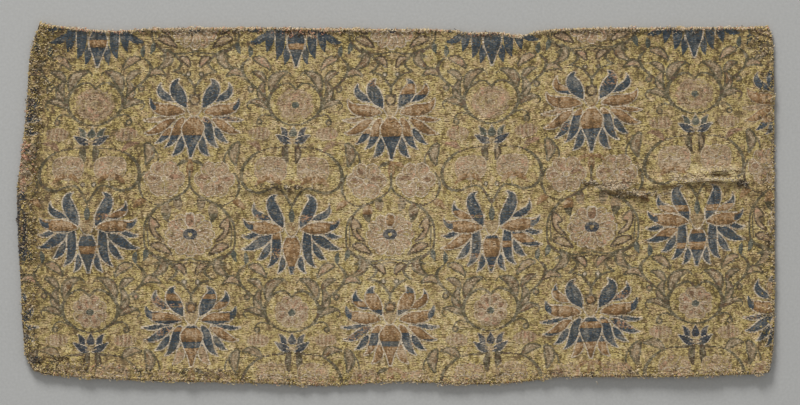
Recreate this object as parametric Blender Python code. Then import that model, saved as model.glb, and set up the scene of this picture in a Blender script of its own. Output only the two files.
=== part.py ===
"""Brocade panel: an oblong of patterned silk and metal brocade lying face up.

The cloth is one sheet. Its four raw edges are turned under and pressed flat,
so a border of double thickness runs round it; a few long creases stand up as
low soft ridges, hollow underneath. Metres, +X along the long side, +Y towards
the top of the pattern, +Z up. The origin is under the middle of the panel, on
the surface it lies on.
"""

import math

import bmesh
import bpy
import numpy as np

MM = 0.001

# ---- driving sizes, millimetres -------------------------------------------
CLOTH = 1.2             # woven ground with the floats on its back
TURNED_UNDER = 1.1      # second layer, all round, where the edge is turned under
HEM_WIDTH = 6.5         # how far the turned-under layer reaches inwards
HEM_SLOPE = 2.2         # run over which the face drops off that layer
EDGE_ROLL = 1.0         # drop of the face at the very fold of the edge
FOLD_SOLID = 0.35       # part of a ridge's height that is cloth, not air

# ---- the outline: the fold line of each edge, millimetres -----------------
#   x        y
TOP_EDGE = [
    (-156.8, 79.8),     # corner, pulled out to a point
    (-151.8, 78.9),
    (-143.4, 77.8),
    (-123.6, 76.4),
    (-106.9, 77.3),
    (-63.8, 77.8),
    (-30.3, 77.3),
    (24.2, 76.7),
    (33.0, 75.4),
    (44.0, 75.8),
    (54.0, 74.2),       # slack dip
    (61.2, 75.8),
    (74.8, 77.3),
    (117.9, 77.8),
    (160.5, 77.8),
    (163.7, 77.2),      # corner
]
BOTTOM_EDGE = [
    (-159.7, -72.9),    # end of the corner that is turned in
    (-155.3, -74.4),
    (-146.1, -75.5),
    (-112.6, -76.7),
    (-63.8, -78.6),
    (-30.3, -79.8),     # lowest point
    (1.8, -77.7),
    (35.2, -78.9),
    (52.4, -78.1),
    (74.8, -75.0),
    (117.9, -75.3),
    (151.4, -74.4),
    (159.5, -74.1),
    (162.8, -73.0),     # corner
]
LEFT_EDGE = [
    (-159.7, -72.9),
    (-162.2, -67.8),    # the corner turned in
    (-163.8, -58.2),
    (-165.0, -35.7),
    (-165.9, -20.0),
    (-166.7, 4.5),      # widest point
    (-165.2, 18.6),
    (-163.8, 29.3),
    (-162.2, 47.7),
    (-160.6, 67.5),
    (-156.8, 79.8),
]
RIGHT_EDGE = [
    (162.8, -73.0),
    (165.6, -68.3),
    (166.3, -60.0),
    (166.6, -33.3),
    (166.5, 19.5),
    (166.2, 60.0),
    (165.6, 73.0),
    (163.7, 77.2),
]

# ---- the creases that stand up, one row for each straight stretch ---------
# Each runs from (x0, y0) to (x1, y1); rise is its height, above and below are
# how far its two flanks run out, all in millimetres.
#  name                x0     y0     x1     y1    rise  above below
FOLDS = [
    ("long fold, west",   88.0,   6.0, 112.7,   8.1,  1.1,  6.0,  3.0),
    ("long fold, middle", 112.7,  8.1, 136.0,  10.7,  1.7,  6.0,  3.0),
    ("long fold, crest",  136.0, 10.7, 150.1,  11.6,  2.3,  5.0,  2.6),
    ("long fold, east",   150.1, 11.6, 160.0,   5.9,  1.5,  4.5,  3.0),
    ("upper ripple",      132.5, 13.5, 149.2,  15.6,  1.6,  4.5,  2.6),
    ("middle crease",     -66.4,  6.2, -35.6,   7.6,  0.9,  6.0,  3.0),
    ("faint crease",       26.0,  6.3,  89.8,   4.6,  0.5,  5.0,  4.0),
    ("low crease",         28.8, -53.1, 51.1, -49.1,  0.9,  5.0,  3.5),
    ("slanted crease",     30.5,  29.6, 50.2,  48.1,  0.6,  4.5,  4.5),
    ("corner crease",    -160.0, -66.2, -138.0, -67.4, 0.9,  4.0,  3.0),
]

# ---- spacing of the construction lines, millimetres -----------------------
BORDER_LINES = (0.0, 0.9, 2.6, 4.6, 6.5, 8.8)     # in from each edge
ALONG_STEP = 9.2                                  # between the borders, in X
#                   from    to    step
ACROSS_STEPS = [(-70.0, -56.0, 4.6),
                (-56.0, -46.0, 3.4),
                (-46.0,   2.0, 8.0),
                (2.0,    18.0, 2.0),
                (18.0,   70.0, 7.4)]


def along_edge(rows, axis):
    """Returns a function of 0..1 giving the point at that share of the edge's
    run in X (axis 0) or Y (axis 1), by cubic pieces through the rows."""
    pts = np.array(rows, float)
    run = pts[:, axis]
    other = pts[:, 1 - axis]
    slope = np.gradient(other, run)
    # no overshoot: the slope is nought at a peak or a dip
    step = np.diff(other) / np.diff(run)
    for i in range(1, len(rows) - 1):
        if step[i - 1] * step[i] <= 0.0:
            slope[i] = 0.0
        else:
            limit = 3.0 * min(abs(step[i - 1]), abs(step[i]))
            slope[i] = max(-limit, min(limit, slope[i]))

    def at(share):
        r = run[0] + share * (run[-1] - run[0])
        i = int(np.clip(np.searchsorted(run, r) - 1, 0, len(run) - 2))
        h = run[i + 1] - run[i]
        s = (r - run[i]) / h
        o = ((1 + 2 * s) * (1 - s) ** 2 * other[i] + s * (1 - s) ** 2 * h * slope[i]
             + s * s * (3 - 2 * s) * other[i + 1] + s * s * (s - 1) * h * slope[i + 1])
        return np.array((r, o) if axis == 0 else (o, r))

    return at


EDGE = {
    "top": along_edge(TOP_EDGE, 0),
    "bottom": along_edge(BOTTOM_EDGE, 0),
    "left": along_edge(LEFT_EDGE, 1),
    "right": along_edge(RIGHT_EDGE, 1),
}


def on_cloth(u, v):
    """Point of the cloth's plan at shares u (left to right) and v (bottom to
    top): the four edges blended across the panel."""
    b, t = EDGE["bottom"](u), EDGE["top"](u)
    l, r = EDGE["left"](v), EDGE["right"](v)
    corners = ((1 - u) * (1 - v) * EDGE["bottom"](0.0) + u * (1 - v) * EDGE["bottom"](1.0)
               + (1 - u) * v * EDGE["top"](0.0) + u * v * EDGE["top"](1.0))
    return (1 - v) * b + v * t + (1 - u) * l + u * r - corners


def ridge_height(x, y):
    """Height of the creases at a point, millimetres: the highest of the rows."""
    best = 0.0
    for _name, x0, y0, x1, y1, rise, above, below in FOLDS:
        dx, dy = x1 - x0, y1 - y0
        length = math.hypot(dx, dy)
        along = ((x - x0) * dx + (y - y0) * dy) / length
        side = (-(x - x0) * dy + (y - y0) * dx) / length      # + is above
        past = max(0.0, -along, along - length)
        across = math.hypot(side / (above if side > 0 else below), past / 6.0)
        if across < 1.0:
            best = max(best, rise * (0.5 + 0.5 * math.cos(math.pi * across)))
    return best


def hem_height(inset):
    """Extra height of the face over the turned-under layer."""
    step = min(1.0, max(0.0, (HEM_WIDTH + 0.5 * HEM_SLOPE - inset) / HEM_SLOPE))
    height = TURNED_UNDER * step * step * (3 - 2 * step)
    if inset < 2.2:
        height -= EDGE_ROLL * (1.0 - inset / 2.2) ** 2
    return height


def shares(lines, low, high):
    return [(line - low) / (high - low) for line in lines]


def construction_lines():
    """The shares of the width and height at which the sheet's lines run."""
    low_x, high_x = -165.5, 166.0
    inner = [low_x + s for s in BORDER_LINES]
    outer = [high_x - s for s in reversed(BORDER_LINES)]
    count = int(round((outer[0] - inner[-1]) / ALONG_STEP))
    middle = list(np.linspace(inner[-1], outer[0], count + 1)[1:-1])
    us = shares(inner + middle + outer, low_x, high_x)

    low_y, high_y = -76.5, 77.3
    inner = [low_y + s for s in BORDER_LINES]
    outer = [high_y - s for s in reversed(BORDER_LINES)]
    middle = []
    for start, stop, step in ACROSS_STEPS:
        start, stop = max(start, inner[-1]), min(stop, outer[0])
        n = max(1, int(round((stop - start) / step)))
        middle += list(np.linspace(start, stop, n + 1)[1:])
    middle = [m for m in middle if m < outer[0] - 0.5]
    vs = shares(inner + middle + outer, low_y, high_y)
    return us, vs


def cloth_sheet(name):
    """The sheet: a grid laid on the panel's plan, thickened down to the
    surface, then both faces set to their heights."""
    us, vs = construction_lines()
    nu, nv = len(us), len(vs)
    bm = bmesh.new()
    bmesh.ops.create_grid(bm, x_segments=nu - 1, y_segments=nv - 1, size=0.5)
    for vert in bm.verts:
        i = int(round((vert.co.x + 0.5) * (nu - 1)))
        j = int(round((vert.co.y + 0.5) * (nv - 1)))
        x, y = on_cloth(us[i], vs[j])
        vert.co = (x * MM, y * MM, 0.0)
    out = bmesh.ops.extrude_face_region(bm, geom=list(bm.faces))
    face_side = {e for e in out["geom"] if isinstance(e, bmesh.types.BMVert)}
    for vert in bm.verts:
        x, y = vert.co.x / MM, vert.co.y / MM
        inset = edge_distance(x, y)
        ridge = ridge_height(x, y) * min(1.0, inset / 3.0)
        under = max(0.0, ridge - FOLD_SOLID)
        if vert in face_side:
            vert.co.z = (under + CLOTH + hem_height(inset) + min(ridge, FOLD_SOLID)) * MM
        else:
            vert.co.z = under * MM
    bmesh.ops.recalc_face_normals(bm, faces=bm.faces)
    mesh = bpy.data.meshes.new(name)
    bm.to_mesh(mesh)
    bm.free()
    return mesh


def outline(steps=120):
    """The whole outline as a closed run of points, millimetres."""
    run = [EDGE["bottom"](i / steps) for i in range(steps)]
    run += [EDGE["right"](i / steps) for i in range(steps)]
    run += [EDGE["top"](1 - i / steps) for i in range(steps)]
    run += [EDGE["left"](1 - i / steps) for i in range(steps)]
    return np.array(run)


OUTLINE = outline()


def edge_distance(x, y):
    """Distance in from the outline, millimetres."""
    a = OUTLINE
    b = np.roll(OUTLINE, -1, axis=0)
    d = b - a
    t = np.clip(((x - a[:, 0]) * d[:, 0] + (y - a[:, 1]) * d[:, 1])
                / np.maximum((d ** 2).sum(1), 1e-9), 0, 1)
    near = a + d * t[:, None]
    return float(np.sqrt((near[:, 0] - x) ** 2 + (near[:, 1] - y) ** 2).min())


def brocade_material():
    mat = bpy.data.materials.new("brocade")
    mat.use_nodes = True
    bsdf = mat.node_tree.nodes["Principled BSDF"]
    bsdf.inputs["Base Color"].default_value = (0.30, 0.23, 0.13, 1.0)
    bsdf.inputs["Roughness"].default_value = 0.62
    bsdf.inputs["Metallic"].default_value = 0.0
    return mat


def main():
    for obj in list(bpy.data.objects):
        bpy.data.objects.remove(obj, do_unlink=True)
    group = bpy.data.collections.new("brocade panel")
    bpy.context.scene.collection.children.link(group)
    panel = bpy.data.objects.new("brocade_panel", cloth_sheet("brocade_panel"))
    group.objects.link(panel)
    panel.data.materials.append(brocade_material())
    panel.data.shade_smooth()
    panel.data.set_sharp_from_angle(angle=math.radians(40.0))


main()
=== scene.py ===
"""Brocade panel: the looks.

A silk and metal brocade is one cloth with coloured wefts laid across it. The
cloth itself is a closed sheet whose four edges are rolled under and pressed
flat. Over it lie the wefts that make the face: each float, the short run of a
weft between two binding warps, is a small bent strip of its own. A chart,
drawn below from petals, leaves, rosettes and vines, says which colour of weft
is up at each place, and a slow warp carries the even chart to the slightly
slack and skewed repeats of the old cloth. Metres, in the model's own frame.
"""

import math

import bpy
import numpy as np
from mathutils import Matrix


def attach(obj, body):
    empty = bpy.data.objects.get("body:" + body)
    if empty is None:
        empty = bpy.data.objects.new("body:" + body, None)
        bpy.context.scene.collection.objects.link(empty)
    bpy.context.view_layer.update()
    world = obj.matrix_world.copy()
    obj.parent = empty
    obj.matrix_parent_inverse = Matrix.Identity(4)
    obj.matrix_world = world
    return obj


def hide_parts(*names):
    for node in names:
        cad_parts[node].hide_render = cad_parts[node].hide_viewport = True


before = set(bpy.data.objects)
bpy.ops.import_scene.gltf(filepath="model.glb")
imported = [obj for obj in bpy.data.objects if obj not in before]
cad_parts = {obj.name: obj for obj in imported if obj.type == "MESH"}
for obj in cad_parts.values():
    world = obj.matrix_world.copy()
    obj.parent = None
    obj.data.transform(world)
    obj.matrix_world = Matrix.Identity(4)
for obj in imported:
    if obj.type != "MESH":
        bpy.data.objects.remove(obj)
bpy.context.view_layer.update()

MM = 0.001
UNIT = 0.44                    # millimetres in one unit of the chart
ORIGIN_X, ORIGIN_Y = 395.95, 204.3   # the chart unit at the model's origin

# ---------------------------------------------------------------- the chart

# thread colours of the chart
(GROUND, BLUE, BROWN, WHITE, PINK, VINE, LEAF, NAVY, TEAL, PALE, DARK, MIX, TAN, ROSE) = range(14)

STEP = 0.25          # chart cell along a weft, units (a unit is 0.44 mm)
PITCH = 0.94         # from weft to weft, units
X_LOW, X_HIGH = 4.0, 792.0
Y_LOW, Y_HIGH = 10.0, 404.0
N_COL = int((X_HIGH - X_LOW) / STEP)
N_ROW = int((Y_HIGH - Y_LOW) / PITCH)
COL_X = X_LOW + (np.arange(N_COL) + 0.5) * STEP
ROW_Y = Y_LOW + (np.arange(N_ROW) + 0.5) * PITCH
AXIS_A, AXIS_B = 291.7, 391.0     # mirror axes of the two kinds of column
REPEAT_X, REPEAT_Y = 200.6, 206.5

chart = np.zeros((N_ROW, N_COL), np.uint8)
rng = np.random.default_rng(11)


def window(xs, ys, pad):
    c0 = max(0, int((min(xs) - pad - X_LOW) / STEP))
    c1 = min(N_COL, int((max(xs) + pad - X_LOW) / STEP) + 2)
    r0 = max(0, int((min(ys) - pad - Y_LOW) / PITCH))
    r1 = min(N_ROW, int((max(ys) + pad - Y_LOW) / PITCH) + 2)
    if c1 <= c0 or r1 <= r0:
        return None
    return slice(r0, r1), slice(c0, c1)


def inside(win, poly):
    X, Y = COL_X[win[1]][None, :], ROW_Y[win[0]][:, None]
    hit = np.zeros((Y.shape[0], X.shape[1]), bool)
    n = len(poly)
    for i in range(n):
        x0, y0 = poly[i]
        x1, y1 = poly[(i + 1) % n]
        if y0 == y1:
            continue
        cross = (Y > min(y0, y1)) & (Y <= max(y0, y1))
        hit ^= cross & (X < x0 + (Y - y0) * (x1 - x0) / (y1 - y0))
    return hit


def distance(win, pts, widths=None):
    """Distance to a run of points less half its width there."""
    X, Y = COL_X[win[1]][None, :], ROW_Y[win[0]][:, None]
    best = np.full((Y.shape[0], X.shape[1]), 1e9)
    for i in range(len(pts) - 1):
        x0, y0 = pts[i]
        dx, dy = pts[i + 1][0] - x0, pts[i + 1][1] - y0
        ll = dx * dx + dy * dy
        if ll < 1e-9:
            continue
        t = np.clip(((X - x0) * dx + (Y - y0) * dy) / ll, 0, 1)
        d = np.hypot(X - x0 - t * dx, Y - y0 - t * dy)
        if widths is not None:
            d = d - 0.5 * (widths[i] + t * (widths[i + 1] - widths[i]))
        best = np.minimum(best, d)
    return best


def smooth(pts, per=5):
    """A run of points eased through the given ones."""
    p = np.array(pts, float)
    ext = np.vstack([2 * p[0] - p[1], p, 2 * p[-1] - p[-2]])
    out = []
    for i in range(1, len(ext) - 2):
        for s in np.linspace(0, 1, per, endpoint=False):
            a, b, c, d = ext[i - 1], ext[i], ext[i + 1], ext[i + 2]
            out.append(0.5 * (2 * b + (c - a) * s + (2 * a - 5 * b + 4 * c - d) * s * s
                              + (3 * b - a - 3 * c + d) * s ** 3))
    out.append(p[-1])
    return np.array(out)


def put(win, mask, code):
    block = chart[win]
    if callable(code):
        rows = ROW_Y[win[0]]
        for i, y in enumerate(rows):
            block[i][mask[i]] = code(y)
    else:
        block[mask] = code


def stroke(pts, width, code, ease=True, keep=1.0):
    if ease and len(pts) > 2:
        w = np.array(width if hasattr(width, "__len__") else [width] * len(pts), float)
        n = len(pts)
        pts2 = smooth(pts)
        w = np.interp(np.linspace(0, n - 1, len(pts2)), np.arange(n), w)
        pts = pts2
    else:
        w = np.array(width if hasattr(width, "__len__") else [width] * len(pts), float)
    if code == VINE:
        w = w * 0.90
    win = window([p[0] for p in pts], [p[1] for p in pts], w.max())
    if win is None:
        return
    m = distance(win, pts, w) < 0
    if keep < 1.0:
        m &= rng.random(m.shape) < keep
    put(win, m, code)


def blade(b, c1, c2, t, widths, steps=16):
    """The outline of a petal or leaf: a curved midline from b to t, bent
    towards c1 and c2, with its width at five stations."""
    b, c1, c2, t = (np.array(v, float) for v in (b, c1, c2, t))
    s = np.linspace(0, 1, steps)[:, None]
    mid = (1 - s) ** 3 * b + 3 * s * (1 - s) ** 2 * c1 + 3 * s * s * (1 - s) * c2 + s ** 3 * t
    d = np.gradient(mid, axis=0)
    d /= np.maximum(np.hypot(d[:, 0], d[:, 1])[:, None], 1e-9)
    # widths eased through the five stations
    k = smooth([(i / 4.0, w) for i, w in enumerate(widths)], 8)
    w = np.interp(s[:, 0], k[:, 0], k[:, 1])[:, None] * 0.5
    n = np.stack([-d[:, 1], d[:, 0]], 1)
    return np.vstack([mid + n * w, (mid - n * w)[::-1]])


def petal(poly, fill, line=WHITE, line_w=1.05, grow=0.0):
    win = window(poly[:, 0], poly[:, 1], 2.5)
    if win is None:
        return
    if line == VINE:
        line_w *= 0.88
    m = inside(win, poly)
    closed = np.vstack([poly, poly[:1]])
    d = distance(win, closed)
    d = np.where(m, -d, d)
    if line is not None:
        put(win, np.abs(d - 0.1) < line_w * 0.5, line)
        put(win, d < 0.1 - line_w * 0.5, fill)
    else:
        put(win, d < 0, fill)


def disc(x, y, rx, ry, code):
    win = window([x - rx, x + rx], [y - ry, y + ry], 0.5)
    if win is None:
        return
    X, Y = COL_X[win[1]][None, :], ROW_Y[win[0]][:, None]
    put(win, ((X - x) / rx) ** 2 + ((Y - y) / ry) ** 2 < 1, code)


def ring(x, y, r, code, inner, hole=0.45):
    disc(x, y, r, r, code)
    disc(x, y, r * hole, r * hole, inner)


def speckle(x, y, rx, ry, code, share, edge):
    """Breaks the rim of an oval up, and a share of its inside, with another
    colour, in little runs."""
    win = window([x - rx, x + rx], [y - ry, y + ry], 0.5)
    if win is None:
        return
    X, Y = COL_X[win[1]][None, :], ROW_Y[win[0]][:, None]
    d = np.sqrt(((X - x) / rx) ** 2 + ((Y - y) / ry) ** 2)
    runs = rng.random((d.shape[0], d.shape[1] // 5 + 2)).repeat(5, 1)[:, :d.shape[1]]
    chance = np.where(d > edge, 0.75 * (d - edge) / (1 - edge), share)
    put(win, (d < 1) & (runs < chance) & np.isin(chart[win], (PINK, ROSE, PALE)), code)


# ---------------------------------------------------------------- palmettes
#           base          bend 1        bend 2        tip            widths at five stations
PALMETTE_LONG = {
    "p4": ((33, 4.8), (38, 3.6), (44, 8.8), (50.0, 6.0), (1.6, 4.8, 5.4, 3.4, 0.6)),
    "p2": ((18.8, -9.2), (27, -13.4), (40.2, -13.0), (37.4, -26.4), (1.2, 6.4, 7.4, 5.6, 0.5)),
    "p6": ((21.8, 12.0), (23.4, 18), (27.5, 27), (34.8, 29.4), (0.8, 5.8, 7.8, 5.6, 0.6)),
    "p5": ((18.5, 5.6), (30, 8.0), (37, 19.5), (50.4, 18.6), (3.0, 9.4, 10.2, 6.0, 0.6)),
    "p8": ((9.6, 25.0), (9.0, 31), (7.6, 36.5), (14.4, 42.4), (0.8, 5.4, 7.0, 5.2, 0.8)),
    "p7": ((15.4, 2.4), (15.6, 16), (13.0, 29), (24.4, 36.8), (7.6, 9.9, 9.5, 7.2, 1.0)),
    "p3": ((9.0, 0.0), (20, -3.2), (44, 1.5), (48.2, -10.4), (1.6, 10.8, 12.0, 7.0, 0.6)),
    "p1": ((8.6, -2.0), (12.5, -12), (29.0, -30.5), (14.4, -35.0), (1.6, 11.0, 12.4, 8.6, 0.6)),
}
PALMETTE_BROAD = {
    "p4": ((19, 5.8), (30, 5.6), (38, 10.5), (49.6, 8.4), (1.0, 3.4, 4.8, 4.2, 0.8)),
    "p2": ((20.0, -10.0), (27.5, -13.8), (39.8, -16.5), (34.0, -28.6), (1.6, 6.8, 8.0, 6.4, 0.6)),
    "p6": ((21.8, 16.5), (24.5, 20), (27.5, 29), (36.2, 31.8), (1.4, 6.4, 7.6, 5.4, 0.6)),
    "p5": ((18.5, 8.2), (28, 11), (34.5, 22), (47.4, 21.4), (2.0, 8.0, 9.2, 6.4, 0.7)),
    "p8": ((10.4, 24.5), (10.4, 32), (9.8, 40), (18.6, 45.4), (1.0, 6.6, 8.8, 6.8, 0.8)),
    "p7": ((9.5, 7.0), (17.5, 12), (13.5, 29.5), (26.6, 37.2), (3.0, 9.0, 9.6, 7.6, 0.8)),
    "p3": ((9.8, 1.5), (20, -3.2), (41.5, 3.5), (44.6, -12.2), (2.4, 10.6, 11.8, 8.4, 0.8)),
    "p1": ((8.2, -3.0), (12.5, -12.5), (27.0, -25.5), (15.6, -32.4), (1.4, 11.4, 14.0, 9.2, 0.6)),
}
# the lower half of a long one, cut off by the top edge: shorter, closer blades
PALMETTE_CUT = dict(
    PALMETTE_LONG,
    p5=((30, 11), (34, 15), (39, 19.5), (47, 18.8), (3.0, 6.6, 7.0, 5.0, 0.8)),
    p6=((25, 3.0), (26.6, 12), (26.4, 20), (29.6, 28.6), (6.0, 9.2, 8.8, 6.4, 0.9)),
    p7=((16.6, 2.4), (16.6, 14), (14.8, 26), (19.6, 35.2), (8.4, 10.2, 9.6, 7.2, 1.2)),
    p8=((9.6, 22.0), (9.8, 29), (8.6, 35), (11.8, 41.2), (2.0, 6.4, 7.0, 4.8, 0.9)),
)
ORDER = ("p4", "p2", "p6", "p5", "p8", "p7", "p3", "p1")

# which stretches of a palmette's petals were woven in the second colour:
#   petal, side (-1 left, 1 right, 0 both), from y, to y, colour
BANDS = {
    ("long", -1, -1): [("pc", 0, 17, 24, BROWN)],
    ("long", 0, -1): [("pc", 0, 20.5, 26, BROWN)],
    ("long", -1, 0): [("p3", 0, -7.5, 3.2, BROWN), ("p2", 1, -17, -10.5, BROWN), ("pc", 0, 18, 25.5, BROWN),
                      ("p1", 1, -14, -8, MIX)],
    ("long", 0, 0): [("p3", 0, -9, 20, BROWN), ("pc", 0, 0, 36, BROWN), ("p2", -1, -16, 0, MIX),
                     ("p1", 1, -15, -8, MIX), ("p7", -1, 0, 9, BROWN), ("p7", -1, 18, 27, MIX)],
    ("long", 1, 0): [("p3", 0, -20, 20, BROWN), ("pc", 0, 10, 28, BROWN), ("pc", 0, 37, 50, MIX),
                     ("p2", -1, -18, 0, BROWN), ("p5", -1, 0, 30, BROWN), ("p5", 1, 7, 15.5, BROWN),
                     ("p7", 1, 13, 19.5, BROWN), ("p7", -1, 24, 29, MIX), ("p1", -1, -13, -10, MIX)],
    ("long", 2, 0): [("p1", 0, -16, -10.5, BROWN), ("p3", 0, -9, 20, BROWN), ("p5", -1, 6, 14.5, BROWN),
                     ("pc", 0, 20, 27, BROWN), ("pc", 0, 3, 11, BROWN), ("p7", -1, 20.5, 26, BROWN),
                     ("p2", 0, -16, 0, BROWN)],
    ("broad", -1, 0): [("p3", 0, -30, 20, BROWN), ("p5", 0, 0, 24.8, BROWN), ("p6", -1, 0, 24.8, BROWN),
                       ("p7", -1, 0, 24.8, BROWN), ("p7", 1, 0, 12, MIX), ("pc", 0, 0, 24.8, BROWN),
                       ("p4", -1, 0, 30, PINK), ("p4", 1, 0, 30, MIX)],
    ("broad", 0, 0): [("p3", 0, -30, 20, BROWN), ("p4", 1, 0, 20, BROWN), ("p4", -1, 0, 20, PINK),
                      ("p5", 0, 0, 24.8, BROWN), ("p6", -1, 0, 22, BROWN), ("p7", 0, 0, 24.8, BROWN),
                      ("pc", 0, 0, 24.8, BROWN), ("p1", 1, -27, -16.5, BROWN), ("p2", 1, -25, -16, BROWN),
                      ("p1", -1, -32, -24, MIX)],
    ("broad", 1, 0): [("p3", 0, -30, 20, BROWN), ("p4", 1, 0, 20, BROWN), ("p4", -1, 0, 20, PINK),
                      ("p5", 0, 0, 24.8, BROWN), ("p6", -1, 0, 26, MIX), ("p7", 0, 0, 12, BROWN),
                      ("pc", 0, 0, 25.6, BROWN), ("p1", 1, -32, -16.5, MIX), ("p2", -1, -40, -13, BROWN)],
    ("broad", -1, 1): [("p1", -1, -25.5, -18.6, BROWN), ("p1", -1, -16, -12, MIX), ("p1", 1, -25.5, -20.5, BROWN),
                       ("p2", 1, -18, 0, BROWN), ("p2", -1, -22, 0, MIX), ("p3", 0, -6.2, 1.6, BROWN),
                       ("p5", -1, 0, 16, MIX), ("p5", 1, 0, 30, BROWN), ("pc", 0, 9, 23, BROWN),
                       ("p8", 0, 28, 60, PINK), ("pc", 0, 29, 60, BROWN), ("p7", -1, 8, 12.5, BROWN)],
    ("broad", 0, 1): [("p1", 0, -25.5, -9, BROWN), ("p2", -1, -18, -12, BROWN), ("p2", 1, -24, -8, BROWN),
                      ("p3", 0, -10, 20, BROWN), ("p5", -1, 0, 30, MIX), ("p5", 1, 0, 21, BROWN),
                      ("p7", 0, 0, 14.4, BROWN), ("p7", -1, 28, 60, BROWN), ("pc", 0, 0, 22.5, BROWN),
                      ("pc", 0, 28.8, 60, BROWN), ("p8", 0, 27, 60, BROWN)],
    ("broad", 1, 1): [("p2", -1, -22, 0, BROWN), ("p2", 1, -20, 0, MIX), ("p3", 0, -8, 20, BROWN),
                      ("p5", -1, 0, 20, BROWN), ("p5", 1, 8, 19, MIX), ("pc", 0, 11, 17, BROWN),
                      ("p7", 1, 9, 13, BROWN), ("p8", 0, 31, 60, BROWN), ("pc", 0, 31, 60, BROWN)],
}
BANDS[("broad", 2, 0)] = BANDS[("broad", -1, 0)]
BANDS[("broad", 2, 1)] = [("p3", 0, -8, 20, BROWN), ("p4", 0, -30, 30, MIX), ("p1", 0, -26, -10, BROWN)]


def palmette(kind, col, row, cx, cy):
    petals = (PALMETTE_CUT if row < 0 else PALMETTE_LONG) if kind == "long" else PALMETTE_BROAD
    bands = BANDS.get((kind, col, row), [])

    def fill(name, side):
        mine = [b for b in bands if b[0] == name and b[1] in (0, side)]

        def code(y):
            for _n, _s, y0, y1, c in mine:
                if y0 <= y - cy < y1:
                    return c
            return BLUE
        return code

    def place(pt, side):
        return (cx + side * pt[0], cy + pt[1])

    for name in ORDER:
        b, c1, c2, t, w = petals[name]
        worn = row < 0 and name in ("p2", "p4", "p5", "p6", "p7", "p8")
        for side in (-1, 1):
            poly = blade(place(b, side), place(c1, side), place(c2, side), place(t, side), w)
            faint = kind == "broad" and col == 2 and row == 0
            petal(poly, fill(name, side), None if worn else PALE if faint else WHITE, 0.75 if faint else 1.15)
            if name == "p3" and kind == "long" and row == 0:
                # the tip of the side petal stays blue
                poly = blade(place((38.5, -2.8), side), place((42, -2.2), side), place((45.4, -3.8), side),
                             place((47.9, -9.6), side), (5.4, 5.2, 4.4, 3.2, 0.8))
                petal(poly, BLUE, None)
            if name == "p3" and kind == "broad" and (col, row) in ((-1, 1), (1, 1), (0, 1), (-1, 0), (2, 1)):
                wide = 1.0 if row else 0.7
                poly = blade(place((38.5, -3.5), side), place((41.5, -3.0), side), place((43.6, -6.0), side),
                             place((44.2, -13.0), side), (6.4 * wide, 7.0 * wide, 5.6 * wide, 3.8 * wide, 0.8))
                petal(poly, BLUE, None)
    # the upright petal in the middle
    if kind == "long":
        poly = blade((cx, cy + 7.0), (cx, cy + 18), (cx, cy + 30), (cx, cy + 43.8), (10.5, 18.0, 15.8, 8.6, 2.6))
    else:
        poly = blade((cx, cy + 6.2), (cx, cy + 18), (cx, cy + 33), (cx, cy + 48.0), (8.5, 22.4, 18.4, 8.8, 2.6))
    petal(poly, fill("pc", 0), line_w=1.1 if row < 0 else 1.25)
    if row < 0:
        for side in (-1, 1):
            stroke([(cx + side * 21.6, cy + 2), (cx + side * 21.2, cy + 22)], 1.1, WHITE, ease=False, keep=0.85)
            stroke([(cx + side * 10.4, cy + 2), (cx + side * 10.2, cy + 14), (cx + side * 9.0, cy + 26)], 1.1, WHITE,
                   ease=False, keep=0.9)
    # the cup the petals spring from, a point below
    low = 7.4 if kind == "long" else 6.4
    cup = np.array([(cx - 6.6, cy - 7.5), (cx, cy - 8.2), (cx + 6.6, cy - 7.5), (cx + 6.6, cy - 1.5), (cx + 3.6, cy + low - 2.6),
                    (cx, cy + low), (cx - 3.6, cy + low - 2.6), (cx - 6.6, cy - 1.5)])
    petal(cup, TAN, None)
    for side in (-1, 1):
        stroke([(cx + side * 7.4, cy - 13.0), (cx + side * 7.2, cy - 6.0), (cx + side * 6.9, cy - 1.2),
                (cx + side * 3.8, cy + low - 2.6), (cx, cy + low)], 1.2, WHITE, ease=False)
        stroke([(cx + side * 3.4, cy - 5.6), (cx + side * 4.6, cy - 2.0), (cx + side * 1.8, cy + 1.6), (cx, cy + 2.4)], 0.7, PINK)
    stroke([(cx - 3.0, cy - 6.0), (cx, cy - 3.6), (cx + 3.0, cy - 6.0)], 0.8, PINK)


# ---------------------------------------------------------------- rosettes
def rosette(cx, cy, r, count, fill, line=PALE, turn=0.0, heart=0.30, squash=0.95, line_w=0.95,
            centre=None, centre_r=2.5, brown=(), inner=0.55, full=0.78, core=None):
    """Petals round a centre: each an oval edged with a paler thread, the
    ground showing between them, with a smaller oval drawn inside."""
    for i in range(count):
        a = turn + 2 * math.pi * i / count
        ux, uy = math.cos(a), math.sin(a) * squash

        def at(d, off=0.0):
            return (cx + ux * r * d - uy * off, cy + uy * r * d + ux * off)

        w = full * 2 * math.pi * r / count
        mine = BROWN if i in brown else fill
        poly = blade(at(heart * 0.5), at(0.42), at(0.78), at(1.0), (0.2 * w, 0.66 * w, 0.96 * w, 0.92 * w, 0.40 * w))
        petal(poly, mine, line, line_w)
        if inner > 0:
            k = inner / 0.55
            poly = blade(at(heart + 0.10), at(0.5), at(0.70), at(0.84), (0.1 * w, 0.34 * w * k, 0.50 * w * k,
                                                                        0.44 * w * k, 0.12 * w))
            petal(poly, mine if core is None else core, line, line_w * 0.6)
    if centre is not None:
        disc(cx, cy, centre_r + 0.9, centre_r + 0.9, line)
        disc(cx, cy, centre_r, centre_r, centre)


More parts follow.
